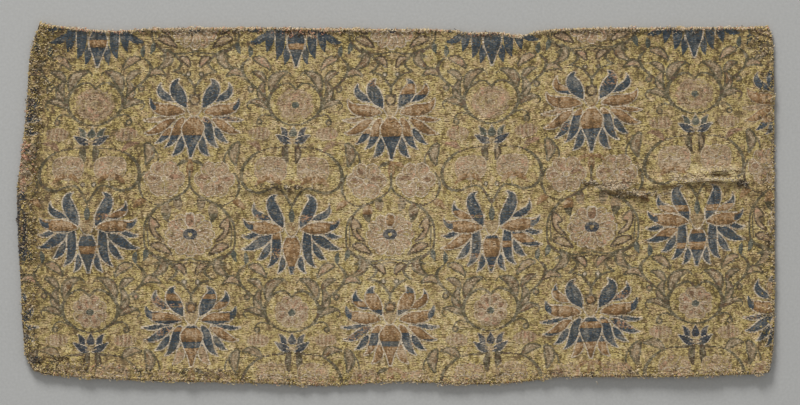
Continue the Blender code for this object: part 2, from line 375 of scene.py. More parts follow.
def leaf(b, c, t, w, fill=LEAF, line=DARK, line_w=1.2):
    bx, by = b
    tx, ty = t
    c1 = (bx + (c[0] - bx) * 0.8, by + (c[1] - by) * 0.8)
    c2 = (tx + (c[0] - tx) * 0.7, ty + (c[1] - ty) * 0.7)
    petal(blade(b, c1, c2, t, (0.30 * w, 0.88 * w, w, 0.66 * w, 0.14 * w)), fill, line, line_w * 1.12)
    if line is not None and w > 5.0:
        # its vein
        stroke([(bx + (c[0] - bx) * 0.45, by + (c[1] - by) * 0.45), (0.5 * (c1[0] + c2[0]), 0.5 * (c1[1] + c2[1])),
                (tx + (c[0] - tx) * 0.4, ty + (c[1] - ty) * 0.4)], 0.55, PALE)


def mirrored(cx, draw):
    for side in (-1, 1):
        draw(lambda x, y, s=side: (cx + s * x, y), side)


def column_a(col, row):
    """Everything that hangs on a mirror axis of the first kind."""
    cx = AXIS_A + REPEAT_X * col
    dy = REPEAT_Y * row

    # the heart-shaped frame, y 105, and its rosette
    hy = 105.0 + dy
    if row == 0:
        disc(cx, hy - 0.2, 19.4, 16.6, PINK)
        speckle(cx, hy - 0.2, 20.2, 17.4, GROUND, 0.10, 0.86)
        for d, c in ((6.4, ROSE), (9.6, PALE), (12.8, ROSE), (16.0, PALE)):
            pts = [(cx + math.cos(k * math.pi / 14) * (d + 0.9 * (-1) ** k), hy - 0.2
                    + 0.88 * math.sin(k * math.pi / 14) * (d + 0.9 * (-1) ** k)) for k in range(29)]
            stroke(pts, 0.8, c, ease=False, keep=0.62)
    else:
        rosette(cx, hy - 0.8, 16.8, 8, PINK, PALE, math.pi / 8, squash=0.96, heart=0.34, line_w=0.95,
                inner=0.5, full=0.88, core=ROSE)
        for k in range(8):
            a = math.pi * k / 4
            stroke([(cx + math.cos(a) * 6.0, hy - 0.8 + math.sin(a) * 5.6), (cx + math.cos(a) * 13.0, hy - 0.8
                    + math.sin(a) * 12.2)], 0.9, WHITE, keep=0.7)
    disc(cx, hy, 4.6, 4.2, PALE if row else TAN)
    disc(cx, hy, 3.8, 3.3, TEAL if (col, row) not in ((-1, 0), (1, 0)) else LEAF)

    def heart(p, side):
        stroke([p(0, hy - 15.6), p(3.4, hy - 19.2), p(7.0, hy - 21.6), p(12.0, hy - 21.6), p(18.0, hy - 18.6),
                p(23.4, hy - 13.6), p(26.9, hy - 7.0), p(27.4, hy - 0.8), p(25.4, hy + 5.6), p(20.6, hy + 11.6),
                p(13.6, hy + 16.4), p(6.6, hy + 19.2), p(0, hy + 20.0)],
               (2.6, 2.3, 2.5, 2.6, 2.9, 3.4, 4.0, 4.3, 3.7, 3.0, 2.6, 2.0, 1.7), VINE)
        # the leaf above
        leaf(p(25.0, hy - 14), p(24.5, hy - 29), p(8.8, hy - 33.2), 9.0, LEAF, VINE, 2.1)
        stroke([p(9.6, hy - 33.6), p(6.4, hy - 31.8), p(4.6, hy - 29.4)], 1.6, VINE)
        # the pair outside it, the arch and its ring
        leaf(p(30.8, hy - 2.5), p(38.2, hy - 12), p(31.0, hy - 24.0), 7.6, LEAF, VINE, 1.8)
        leaf(p(30.6, hy - 22.6), p(35, hy - 32), p(44.0, hy - 32.4), 6.2, LEAF, VINE, 1.7)
        stroke([p(47.2, hy - 46.6), p(52.5, hy - 41.5), p(54.4, hy - 36), p(52.2, hy - 29.2), p(47.0, hy - 23),
                p(40, hy - 17.2), p(33, hy - 10.2), p(27, hy - 2)], (1.9, 3.3, 4.2, 3.8, 2.7, 2.4, 2.5, 3.0), VINE)
        ring(*p(45.2, hy - 15.8), 3.6, VINE, PINK, 0.42)
        stroke([p(43.6, hy - 19.5), p(42.6, hy - 17.4), p(43.2, hy - 15)], 1.4, VINE)
        leaf(p(53.5, hy - 28.5), p(60, hy - 36.5), p(69.5, hy - 29.0), 6.6, PINK, VINE, 1.8)
        leaf(p(43.2, hy - 46), p(33, hy - 46), p(26.0, hy - 35.2), 7.4, PINK, VINE, 1.8)
        stroke([p(26.5, hy - 36.5), p(24.8, hy - 39.2)], 1.6, VINE)
        petal(blade(p(46.3, hy - 48.0), p(45.2, hy - 52), p(45.6, hy - 56), p(47.2, hy - 59.5),
                    (1.6, 4.6, 5.0, 3.6, 0.8)), TEAL, None)
        # the leaf at the side, and the arm below it with a ring
        leaf(p(28.5, hy + 3.2), p(37.0, hy - 4.5), p(47.2, hy - 2.6), 5.6, LEAF, VINE, 1.8)
        stroke([p(45.6, hy - 2.8), p(48.6, hy - 0.6), p(48.2, hy + 2.6), p(45.4, hy + 4.8)], (1.8, 2.0, 1.7, 1.4), VINE)
        stroke([p(21, hy + 11.8), p(26, hy + 10.2), p(31.5, hy + 9.8), p(35.0, hy + 11.6), p(37.4, hy + 15.0)],
               (2.6, 2.2, 1.9, 1.9, 1.8), VINE)
        ring(*p(35.4, hy + 17.4), 3.4, VINE, TAN, 0.42)
        # the small pink flower at either side of the bud
        disc(*p(34.2, hy + 28.4), 11.6, 6.4, PINK)
        speckle(*p(34.2, hy + 28.4), 12.4, 7.2, GROUND, 0.10, 0.82)
        for k in range(-5, 6):
            stroke([p(34.2 + 2.0 * k, hy + 23.2 + 0.12 * k * k), p(34.2 + 2.0 * k, hy + 33.2 - 0.10 * k * k)],
                   0.8, PALE if k % 2 else ROSE, ease=False, keep=0.8)
        stroke([p(25, hy + 33.2), p(30, hy + 34.8), p(35, hy + 34.4), p(41, hy + 33.6)], 0.9, PALE, keep=0.7)

    mirrored(cx, heart)

    # the bud, y 137
    by = 140.0 + dy
    short = 0.74 if row == 0 else 0.86
    dull = TEAL if row == 0 else NAVY

    def bud(p0, side):
        def p(x, y):
            return p0(x, by - 13.6 + (y - by + 13.6) * short)

        petal(blade(p(5.6, by + 0.4), p(9.6, by - 3.4), p(7.6, by - 8.0), p(13.4, by - 12.4), (4.0, 6.8, 6.2, 4.2, 0.8)),
              dull if col else NAVY, PALE, 0.7)
        petal(blade(p(1.0, by + 6.4), p(8.0, by + 7.4), p(11.4, by + 1.2), p(17.4, by - 2.0), (3.2, 7.2, 7.2, 4.6, 0.8)),
              NAVY, WHITE, 0.75)
        stroke([p(5.0, by - 5.0), p(4.6, by - 1.4)], 1.5, WHITE)
        stroke([p(0, by + 7.0), p(3.0, by + 6.4), p(5.4, by + 5.4)], (1.6, 1.6, 1.2), PALE)
        if row > 0:
            near = 2.4 if side < 0 else 5.6
            leaf(p0(near, by + 7.2), p0(near + 2.8, by + 16), p0(near + 0.8, by + 25.0), 5.0, VINE, DARK, 1.7)
        else:
            leaf(p0(6.4 if side < 0 else 4.6, by + 6.0), p0(8.4 if side < 0 else 7.0, by + 13), p0(4.4, by + 22.4), 5.0,
                 VINE if col < 0 or side < 0 else LEAF, VINE if col < 0 else DARK, 1.9)

    mirrored(cx, bud)
    cy = by - 13.6
    petal(blade((cx, cy + 14.0 * short), (cx, cy + 10.6 * short), (cx, cy + 6.2 * short), (cx, cy), (4.6, 8.4, 8.2, 4.8, 0.8)),
          dull, PALE, 0.8)
    disc(cx, cy + 18.4 * short, 3.0, 2.5, TAN)
    stroke([(cx - 2.2, cy + 17.0 * short), (cx, cy + 18.4 * short), (cx + 2.2, cy + 19.8 * short)], 0.8, PALE)
    stroke([(cx + 2.2, cy + 17.0 * short), (cx, cy + 18.4 * short), (cx - 2.2, cy + 19.8 * short)], 0.8, PALE)

    # the oval frame with its two small rosettes, y 149 to 192
    oy = dy

    def oval(p, side):
        stroke([p(4, oy + 146.6), p(14, oy + 147.6), p(24, oy + 149.2), p(32, oy + 151.4), p(40, oy + 156.8),
                p(47.0, oy + 165), p(50.0, oy + 174), p(48.5, oy + 184), p(41.5, oy + 191),
                p(31, oy + 192.6), p(21.5, oy + 189.4), p(12.5, oy + 189), p(6.4, oy + 195.6), p(1.0, oy + 205)],
               (1.0, 1.0, 1.2, 2.2, 3.2, 3.6, 4.0, 3.7, 3.2, 2.9, 2.6, 2.6, 2.9, 2.8), VINE)
        if row == 0:
            stroke([p(3, oy + 147.2), p(14, oy + 147.4), p(24, oy + 148.8), p(32, oy + 151.2)], 1.3, DARK)
            leaf(p(31.5, oy + 151.4), p(37, oy + 141.6), p(48.5, oy + 143.2), 6.0, ROSE, None)
        else:
            stroke([p(3, oy + 148.2), p(14, oy + 148.6), p(24, oy + 149.4), p(32, oy + 151.4)], 1.2, DARK)
            leaf(p(31.5, oy + 151.4), p(38, oy + 141.6), p(50.0, oy + 144.6), 7.4, LEAF, VINE, 1.6)
        leaf(p(54.0, oy + 143.5), p(61.5, oy + 152), p(56.0, oy + 165.5), 9.4, LEAF, VINE, 2.1)
        stroke([p(61.0, oy + 148.6), p(66.0, oy + 154), p(67.8, oy + 161), p(66.6, oy + 165)], 2.2, VINE)
        rosette(*p(21, oy + 169.5), 16.8, 6, PINK, PALE, math.pi / 6, squash=0.74, line_w=1.0,
                centre=TAN, centre_r=1.6, full=0.86, core=PINK, inner=0.5)
        if row > 0:
            speckle(*p(21, oy + 169.5), 17.6, 13.4, GROUND, 0.30, 0.80)
        stroke([p(9, oy + 171.5), p(14, oy + 168.6), p(20, oy + 170.6), p(27, oy + 168.4), p(33, oy + 171.2)], 1.2, WHITE,
               keep=0.75)
        leaf(p(21.0, oy + 178.5), p(15, oy + 178.6), p(9.5, oy + 186.0), 5.4, BROWN, None)
        leaf(p(21.5, oy + 178.5), p(30, oy + 178.5), p(36.5, oy + 186.4), 5.8, BROWN, None)
        stroke([p(20.8, oy + 178), p(20.2, oy + 184), p(20.8, oy + 188)], 1.0, PALE)

    mirrored(cx, oval)
    for side in (-1, 1):
        ring(cx + side * 5.6, oy + 187.4, 2.7, VINE, WHITE, 0.45)

    # the long palmette, y 230
    palmette("long", col, row, cx, 230.0 + dy)
    py = 230.0 + dy
    petal(blade((cx, py - 8), (cx, py - 12), (cx, py - 17), (cx, py - 21), (3, 5.6, 6.0, 4.4, 1.5)), TEAL, None)
    stroke([(cx, py - 20), (cx, py - 27)], 1.8, VINE)


def column_b(col, row):
    """Everything that hangs on a mirror axis of the second kind."""
    cx = AXIS_B + REPEAT_X * col
    dy = REPEAT_Y * row

    # arms that spring from the palmette's bud
    py = 111.5 + dy

    def arms(p, side):
        stroke([p(0, py - 16), p(0, py - 24), p(2.6, py - 27.5), p(8.0, py - 34.2), p(14, py - 37.6), p(22, py - 39.4)],
               (2.6, 3.0, 3.0, 2.8, 2.2, 1.8), VINE)
        ring(*p(6.6, py - 36.8), 3.0, VINE, WHITE, 0.45)
        stroke([p(31.0, py - 62.5), p(23.0, py - 58.5), p(17.5, py - 53), p(13.6, py - 48), p(16.5, py - 42.6), p(21.5, py - 39.6)],
               (1.8, 2.2, 3.0, 3.4, 2.8, 2.0), VINE)
        leaf(p(5.5, py - 44.5), p(9, py - 53.5), p(16.0, py - 52.5), 6.2, PINK, DARK, 1.7)
        # curled leaf under the onion frame
        leaf(p(29.0, py - 60), p(22.5, py - 50), p(37.5, py - 42.5), 8.2, LEAF, VINE, 1.9)
        petal(blade(p(29, py - 57), p(31, py - 55), p(33.5, py - 54), p(36.6, py - 54.4), (2, 4, 3.6, 2.2, 0.6)), VINE, None)

    mirrored(cx, arms)

    palmette("broad", col, row, cx, py)
    petal(np.array([(cx - 5.6, py - 16.4), (cx, py - 17.6), (cx + 5.6, py - 16.4), (cx + 6.0, py - 10.0), (cx + 3.2, py - 6.0),
                    (cx - 3.2, py - 6.0), (cx - 6.0, py - 10.0)]), DARK, None)
    disc(cx, py - 11.2, 3.5, 3.6, TAN if row == 0 else BROWN)

    # finial and stem between the side rosettes, y 160 to 186
    sy = dy

    def side_flowers(p, side):
        rosette(*p(24.8, sy + 180.2), 19.4, 6, PINK, WHITE if row == 0 else PALE, 0.0, squash=0.92,
                heart=0.30, line_w=0.95 if col == 0 else 0.72, centre=TAN, centre_r=2.2, full=0.74, core=PINK, inner=0.5)
        if row > 0:
            speckle(*p(24.8, sy + 180.2), 20.5, 18.5, GROUND, 0.28, 0.80)
        # the petal towards the axis is a narrow brown one
        petal(blade(p(21.0, sy + 180.2), p(16, sy + 176.6), p(11, sy + 177.8), p(4.6, sy + 179.6),
                    (1.5, 5.8, 6.4, 3.4, 0.8)), ROSE, PALE, 0.8)
        for a in (2.1, 3.14, 4.2) if side < 0 else (0.0, 1.05, 5.2):
            u, v = math.cos(a), 0.92 * math.sin(a)
            x, y = p(24.8, sy + 180.2)
            petal(blade((x + 7.5 * u, y + 7.5 * v), (x + 10 * u, y + 10 * v), (x + 13 * u, y + 13 * v),
                        (x + 16.2 * u, y + 16.2 * v), (0.8, 4.2, 5.0, 4.0, 0.8)),
                  ROSE if a not in (5.2, 2.1) else PINK, None)
        stroke([p(44.5, sy + 174), p(48.3, sy + 181), p(49.0, sy + 190), p(45.6, sy + 198.5)], (2.0, 3.0, 3.2, 2.0), VINE)
        leaf(p(42.5, sy + 202.5), p(49.5, sy + 202.5), p(54.5, sy + 210.5), 6.6, BROWN, None)
        stroke([p(45.5, sy + 199.5), p(40, sy + 203), p(34, sy + 205.6), p(29, sy + 205.2), p(24, sy + 203.5)], 1.2, DARK)
        leaf(p(1.5, sy + 162.5), p(8.5, sy + 162.6), p(13.4, sy + 168.0), 4.4,
             BROWN if (side > 0 and col >= 0) or col > 0 else VINE, None)

    mirrored(cx, side_flowers)
    petal(blade((cx, sy + 182), (cx, sy + 177), (cx, sy + 168), (cx, sy + 160.5), (2.4, 3.0, 6.6, 6.4, 1.6)), BROWN, None)
    disc(cx, sy + 168.0, 1.6, 2.6, TAN)
    stroke([(cx, sy + 173), (cx, sy + 187)], 2.6, VINE)

    # the onion-shaped frame and the big rosette, y 186 to 262
    ry = 234.6 + dy

    def onion(p, side):
        stroke([p(0, ry - 48.5), p(3.4, ry - 43), p(10.5, ry - 37.4), p(20, ry - 32.2), p(30.4, ry - 27), p(37.0, ry - 20),
                p(42.2, ry - 12.6), p(44.2, ry - 4), p(44.2, ry + 8), p(42.6, ry + 14), p(38.5, ry + 18.6),
                p(32, ry + 22.4), p(23, ry + 25.6), p(12, ry + 26.0), p(0, ry + 23.8)],
               (2.6, 2.6, 2.6, 2.7, 3.0, 3.4, 2.8, 2.2, 2.2, 2.8, 3.6, 2.8, 2.2, 1.9, 1.7), VINE)
        stroke([p(41.0, ry - 9), p(40.8, ry + 2), p(40.0, ry + 12)], 1.4, VINE)
        stroke([p(36, ry + 21), p(26, ry + 27.5), p(14, ry + 29.4), p(0, ry + 27.4)], (2.6, 1.9, 1.6, 1.4), DARK)
        # leaves inside it
        notched = smooth([p(37.6, ry - 17.0), p(32.6, ry - 13.4), p(29.4, ry - 7.8), p(33.4, ry - 6.2), p(33.2, ry - 3.0),
                          p(29.6, ry + 1.6), p(25.6, ry + 6.4), p(31.4, ry + 4.8), p(36.0, ry + 0.6), p(38.9, ry - 6.6),
                          p(39.2, ry - 12.4), p(37.6, ry - 17.0)], 3)
        petal(notched[:-1], PINK, DARK, 1.9)
        leaf(p(37.4, ry + 11.0), p(28, ry + 11.6), p(18.8, ry + 19.4), 7.4, PINK, DARK, 1.9)
        # hanging leaves at the shoulders: brown above, grey below
        petal(blade(p(20.0, ry - 29.0), p(23.6, ry - 26), p(24.2, ry - 19), p(20.8, ry - 11.8), (4.4, 8.8, 10.0, 7.2, 1.2)),
              (lambda y: (BROWN if side < 0 and col >= 0 else LEAF) if y < ry - 20.5 else VINE), None)
        petal(blade(p(10.0, ry - 37.0), p(12.2, ry - 33.5), p(11.8, ry - 29), p(9.4, ry - 23.4), (3.8, 7.8, 8.8, 7.2, 1.8)),
              (lambda y: VINE if y < ry - 32.5 else LEAF) if side < 0 else (lambda y: LEAF if int(y) % 3 else VINE),
              None)
        # small leaves outside, at its foot
        petal(blade(p(43.6, ry + 15.5), p(42.2, ry + 19), p(43.0, ry + 22), p(45.6, ry + 26.4), (2, 5.2, 5.4, 3.4, 0.8)), TEAL, None)

    mirrored(cx, onion)
    rosette(cx, ry, 23.8, 12, PINK, WHITE, -math.pi / 2, squash=0.90, line_w=0.85, heart=0.36, inner=0.42, full=0.92,
            core=PINK)
    speckle(cx, ry, 24.4, 22.0, GROUND, 0.12, 0.90)
    for k in range(12):
        a = math.pi * (k + 0.5) / 6
        stroke([(cx + math.cos(a) * 8.5, ry + math.sin(a) * 8.5), (cx + math.cos(a) * 14.5, ry + math.sin(a) * 14.5)],
               0.9, ROSE if k % 2 else PALE, keep=0.7)
    petal(blade((cx, ry - 7.5), (cx, ry - 12), (cx, ry - 16), (cx, ry - 20.5), (4, 7.6, 9.2, 8.6, 5)),
          lambda y: BROWN if y < ry - 9.5 and col == 0 else ROSE, WHITE, 1.1)
    disc(cx, ry - 0.3, 7.6, 6.2, PALE)
    disc(cx, ry - 0.3, 7.0, 5.5, NAVY)
    disc(cx, ry - 0.2, 2.2, 1.9, GROUND)


def draw_chart():
    for row in (-1, 0, 1):
        for col in (-1, 0, 1, 2):
            column_a(col, row)
        for col in (-2, -1, 0, 1, 2):
            column_b(col, row)


# ---------------------------------------------------------------- the warp
WARP_X = [AXIS_B - 2 * REPEAT_X, AXIS_A - REPEAT_X, AXIS_B - REPEAT_X, AXIS_A, AXIS_B, AXIS_A + REPEAT_X,
          AXIS_B + REPEAT_X, AXIS_A + 2 * REPEAT_X, AXIS_B + 2 * REPEAT_X]
WARP_Y = [25, 108, 140, 176, 232, 315, 346, 385]
#          b-2   a-1   b-1    a0    b0    a1    b1    a2    b2
WARP_DX = [[2.0, 7.6, 4.5, 4.6, 1.0, 0.2, 0.2, 0.8, -0.6],
           [2.0, 3.8, 4.2, 3.6, -0.2, -0.9, 0.0, 2.1, -2.0],
           [0.0, -0.5, 1.6, 0.8, 0.4, -0.3, 0.0, 2.8, -2.0],
           [-1.0, -2.6, -1.0, 0.0, 0.2, -0.8, -0.4, 3.1, -2.0],
           [-2.0, -4.4, -0.4, 0.0, -1.0, -0.5, 0.4, 4.7, -1.0],
           [-1.0, -1.1, 0.9, 0.0, -1.0, -1.7, -0.9, 2.8, -1.5],
           [0.0, -0.5, 1.0, 0.3, -0.8, -1.5, -0.9, 2.8, -2.0],
           [0.0, -0.5, 1.0, 0.3, -0.8, -1.5, -0.9, 2.8, -2.0]]
WARP_DY = [[0.0, 0.0, -0.6, 0.0, -0.6, -0.5, -5.5, -8.8, -9.5],
           [0.0, -0.4, -0.5, 0.0, 0.0, -3.6, -9.5, -11.3, -11.5],
           [0.0, 1.4, -1.0, 0.0, 0.5, -0.6, -8.5, -12.0, -14.0],
           [0.0, -2.5, -1.5, 0.0, 0.6, -4.0, -7.0, -11.4, -15.5],
           [-1.0, -2.0, -0.1, 0.0, 0.0, -2.0, -7.6, -8.2, -12.5],
           [0.5, 0.8, 1.3, 1.5, 0.7, -1.1, -7.0, -8.1, -10.0],
           [0.5, 0.1, 0.8, -0.5, 0.2, -1.1, -7.5, -8.2, -9.5],
           [0.5, 0.1, 0.8, -0.5, 0.2, -1.1, -7.5, -8.2, -9.5]]


def eased_weights(keys, at):
    """Catmull-Rom weights of the keys for each place in at."""
    keys = np.array(keys, float)
    at = np.clip(at, keys[0], keys[-1])
    i = np.clip(np.searchsorted(keys, at) - 1, 0, len(keys) - 2)
    s = (at - keys[i]) / (keys[i + 1] - keys[i])
    w = np.zeros((len(at), len(keys)))
    rows = np.arange(len(at))
    for off, c in ((-1, -0.5 * s + s * s - 0.5 * s ** 3), (0, 1 - 2.5 * s * s + 1.5 * s ** 3),
                   (1, 0.5 * s + 2 * s * s - 1.5 * s ** 3), (2, -0.5 * s * s + 0.5 * s ** 3)):
        j = np.clip(i + off, 0, len(keys) - 1)
        np.add.at(w, (rows, j), c)
    return w


def warped(xr, yr):
    """From the even chart to where the old cloth now holds that place."""
    shape = np.shape(xr)
    xr, yr = np.ravel(xr), np.ravel(yr)
    wx, wy = eased_weights(WARP_X, xr), eased_weights(WARP_Y, yr)
    dx = np.einsum("ni,ij,nj->n", wy, np.array(WARP_DX), wx)
    dy = np.einsum("ni,ij,nj->n", wy, np.array(WARP_DY), wx)
    return (xr + dx).reshape(shape), (yr + dy).reshape(shape)


# ---------------------------------------------------------------- the cloth's shape
# The outline and the standing creases of the model, millimetres.
TOP_EDGE = [(-156.8, 79.8), (-151.8, 78.9), (-143.4, 77.8), (-123.6, 76.4), (-106.9, 77.3), (-63.8, 77.8),
            (-30.3, 77.3), (24.2, 76.7), (33.0, 75.4), (44.0, 75.8), (54.0, 74.2), (61.2, 75.8), (74.8, 77.3),
            (117.9, 77.8), (160.5, 78.0), (164.0, 78.2)]
BOTTOM_EDGE = [(-159.7, -72.9), (-155.3, -74.4), (-146.1, -75.5), (-112.6, -77.5), (-63.8, -78.6), (-30.3, -79.8),
               (1.8, -78.0), (35.2, -79.2), (52.4, -78.4), (74.8, -75.9), (117.9, -75.9), (151.4, -74.9),
               (159.5, -74.6), (163.9, -74.0)]
LEFT_EDGE = [(-159.7, -72.9), (-162.2, -67.8), (-163.8, -58.2), (-165.0, -35.7), (-165.9, -20.0), (-166.7, 4.5),
             (-165.2, 18.6), (-163.8, 29.3), (-162.2, 47.7), (-160.6, 67.5), (-156.8, 79.8)]
RIGHT_EDGE = [(163.9, -74.0), (165.1, -68.3), (166.1, -60.0), (166.6, -33.3), (166.5, 19.5), (166.2, 60.0),
              (165.5, 74.0), (164.0, 78.2)]

CLOTH, TURNED_UNDER, HEM_WIDTH, HEM_SLOPE, EDGE_ROLL = 1.2, 1.1, 6.5, 2.2, 1.0

#    x0     y0     x1     y1    rise  above  below
FOLDS = [
    (88.0, 6.0, 112.7, 8.1, 1.0, 5.0, 1.8),         # the long fold on the right
    (112.7, 8.1, 136.0, 11.2, 1.3, 4.6, 1.6),
    (136.0, 10.9, 150.1, 11.2, 1.5, 3.4, 1.6),
    (150.1, 11.2, 160.0, 5.9, 1.1, 4.5, 2.6),
    (132.5, 13.5, 149.2, 15.8, 1.2, 3.6, 3.2),
    (-66.4, 6.2, -35.6, 7.6, 0.9, 6.0, 3.0),        # the crease in the middle
    (26.0, 6.3, 89.8, 4.6, 0.5, 5.0, 4.0),
    (28.8, -53.1, 51.1, -49.1, 0.9, 5.0, 3.5),
    (30.5, 29.6, 50.2, 48.1, 0.6, 4.5, 4.5),
    (-160.0, -66.2, -138.0, -67.4, 0.9, 4.0, 3.0),
    (84.9, 10.3, 97.0, 7.4, 0.9, 3.0, 1.8),         # small rumples beside the main ones
    (97.0, 7.4, 108.3, 3.7, 1.0, 3.0, 1.8),
    (119.0, 11.6, 133.0, 12.6, 0.8, 2.4, 1.6),
    (139.0, 15.4, 152.0, 12.6, 0.6, 2.6, 2.4),
    (-63.0, 8.0, -57.0, 6.6, 0.8, 3.0, 1.8),
    (-57.0, 6.6, -42.0, 6.4, 0.9, 3.2, 1.8),
    (-160.0, 5.4, -146.0, 7.4, 0.8, 2.6, 1.8),
    (-104.0, -69.4, -84.0, -71.4, 0.7, 2.6, 1.8),
    (158.5, 5.2, 165.6, 4.4, 0.8, 2.4, 1.6),
]


def edge_curve(rows, axis):
    """Function of an array of shares 0..1 along the edge: cubic pieces."""
    pts = np.array(rows, float)
    run, other = pts[:, axis], pts[:, 1 - axis]
    slope = np.gradient(other, run)
    step = np.diff(other) / np.diff(run)
    for i in range(1, len(rows) - 1):
        if step[i - 1] * step[i] <= 0.0:
            slope[i] = 0.0
        else:
            limit = 3.0 * min(abs(step[i - 1]), abs(step[i]))
            slope[i] = max(-limit, min(limit, slope[i]))

    def at(share):
        share = np.asarray(share, float)
        r = run[0] + share * (run[-1] - run[0])
        i = np.clip(np.searchsorted(run, r) - 1, 0, len(run) - 2)
        h = run[i + 1] - run[i]
        s = (r - run[i]) / h
        o = ((1 + 2 * s) * (1 - s) ** 2 * other[i] + s * (1 - s) ** 2 * h * slope[i]
             + s * s * (3 - 2 * s) * other[i + 1] + s * s * (s - 1) * h * slope[i + 1])
        return np.stack((r, o) if axis == 0 else (o, r), -1)

    return at


TOP, BOTTOM = edge_curve(TOP_EDGE, 0), edge_curve(BOTTOM_EDGE, 0)
LEFT, RIGHT = edge_curve(LEFT_EDGE, 1), edge_curve(RIGHT_EDGE, 1)


def on_cloth(u, v):
    u, v = np.broadcast_arrays(np.asarray(u, float), np.asarray(v, float))
    U, V = u[..., None], v[..., None]
    corners = ((1 - U) * (1 - V) * BOTTOM(0.0) + U * (1 - V) * BOTTOM(1.0)
               + (1 - U) * V * TOP(0.0) + U * V * TOP(1.0))
    return (1 - V) * BOTTOM(u) + V * TOP(u) + (1 - U) * LEFT(v) + U * RIGHT(v) - corners


_s = np.linspace(0, 1, 121)[:-1]
OUTLINE = np.vstack([BOTTOM(_s), RIGHT(_s), TOP(1 - _s), LEFT(1 - _s)])


def inset_of(x, y):
    """Distance in from the outline, negative outside, millimetres."""
    x, y = np.ravel(x), np.ravel(y)
    a, b = OUTLINE, np.roll(OUTLINE, -1, axis=0)
    best = np.full(x.shape, 1e9)
    odd = np.zeros(x.shape, bool)
    for (ax, ay), (bx, by) in zip(a, b):
        dx, dy = bx - ax, by - ay
        t = np.clip(((x - ax) * dx + (y - ay) * dy) / max(dx * dx + dy * dy, 1e-9), 0, 1)
        best = np.minimum(best, (ax + t * dx - x) ** 2 + (ay + t * dy - y) ** 2)
        if ay != by:
            odd ^= ((ay > y) != (by > y)) & (x < ax + (y - ay) * dx / dy)
    return np.where(odd, np.sqrt(best), -np.sqrt(best))


class Raster:
    """Values on an even grid of the plan, read between its points."""

    def __init__(self, values, x0, y0, step):
        self.v, self.x0, self.y0, self.step = values.astype(np.float32), x0, y0, step

    def at(self, x, y):
        fx = np.clip((np.asarray(x) - self.x0) / self.step, 0, self.v.shape[1] - 1.001)
        fy = np.clip((np.asarray(y) - self.y0) / self.step, 0, self.v.shape[0] - 1.001)
        i, j = fx.astype(int), fy.astype(int)
        a, b = fx - i, fy - j
        v = self.v
        return ((v[j, i] * (1 - a) + v[j, i + 1] * a) * (1 - b)
                + (v[j + 1, i] * (1 - a) + v[j + 1, i + 1] * a) * b)


def soften(a, sx, sy=None):
    """A smooth blur by sx cells across and sy up."""
    for axis, s in ((1, sx), (0, sx if sy is None else sy)):
        if s <= 0:
            continue
        n = int(math.ceil(3 * s))
        k = np.exp(-0.5 * (np.arange(-n, n + 1) / s) ** 2)
        k /= k.sum()
        pad = [(0, 0), (0, 0)]
        pad[axis] = (n, n)
        p = np.pad(a, pad, mode="edge")
        out = np.zeros_like(a, dtype=float)
        for i, w in enumerate(k):
            sl = [slice(None), slice(None)]
            sl[axis] = slice(i, i + a.shape[axis])
            out += w * p[tuple(sl)]
        a = out
    return a


def clouds(shape, sx, sy, seed):
    """Smooth random field of unit spread, sx and sy cells from hill to hill."""
    f = soften(np.random.default_rng(seed).normal(size=shape), sx, sy)
    return f / f.std()


draw_chart()

GRID = 0.5                                   # millimetres
GX = np.arange(-172.0, 172.01, GRID)
GY = np.arange(-84.0, 84.01, GRID)
MX, MY = np.meshgrid(GX, GY)
INSET = inset_of(MX, MY).reshape(MX.shape)

# where each place of the plan is on the even chart
_px, _py = MX / UNIT + ORIGIN_X, ORIGIN_Y - MY / UNIT
_xr, _yr = _px.copy(), _py.copy()
for _ in range(4):
    _wx, _wy = warped(_xr, _yr)
    _xr += _px - _wx
    _yr += _py - _wy
CHART_X, CHART_Y = _xr, _yr
_c = np.clip(((_xr - X_LOW) / STEP).astype(int), 0, N_COL - 1)
_r = np.clip(((_yr - Y_LOW) / PITCH).astype(int), 0, N_ROW - 1)
PLAN = chart[_r, _c]                         # the colour that is up there


def is_in(*codes):
    return np.isin(PLAN, codes).astype(float)


def ridges():
    best = np.zeros_like(MX)
    for x0, y0, x1, y1, rise, above, below in FOLDS:
        dx, dy = x1 - x0, y1 - y0
        length = math.hypot(dx, dy)
        along = ((MX - x0) * dx + (MY - y0) * dy) / length
        side = (-(MX - x0) * dy + (MY - y0) * dx) / length
        past = np.maximum(0.0, np.maximum(-along, along - length))
        across = np.hypot(np.where(side > 0, side / above, side / below), past / 6.0)
        best = np.maximum(best, np.where(across < 1.0, rise * (0.5 + 0.5 * np.cos(np.pi * np.minimum(across, 1))), 0.0))
    return best


RIDGE = ridges() * np.clip(INSET / 3.0, 0, 1)

# small cockles that the wefts have drawn into the cloth
COCKLE = (0.10 * clouds(MX.shape, 7, 4, 21) + 0.16 * clouds(MX.shape, 26, 12, 22)
          + 0.09 * clouds(MX.shape, 22, 3.5, 23))
BAND = np.exp(-((MY - 10.0) / 9.0) ** 2)     # the worn, cockled belt across the middle
COCKLE += 0.20 * BAND * clouds(MX.shape, 18, 3.2, 24)

# where the cloth is puckered and frayed, chart units on the panel, y down:
#    x    y   rx   ry   strength
FRAYED = [
    (48, 48, 30, 26, 1.0), (33, 110, 11, 50, 0.9), (30, 168, 18, 34, 0.9), (28, 240, 10, 50, 0.8),
    (34, 320, 12, 46, 0.9), (62, 366, 40, 12, 1.0), (165, 371, 60, 8, 0.8), (200, 33, 190, 7, 0.7),
    (560, 33, 220, 7, 0.7), (757, 45, 18, 20, 0.8), (769, 210, 8, 170, 0.8), (330, 377, 150, 6, 0.6),
    (620, 372, 170, 7, 0.7), (712, 176, 40, 9, 1.0), (620, 188, 36, 8, 0.8), (745, 184, 12, 8, 1.0),
]


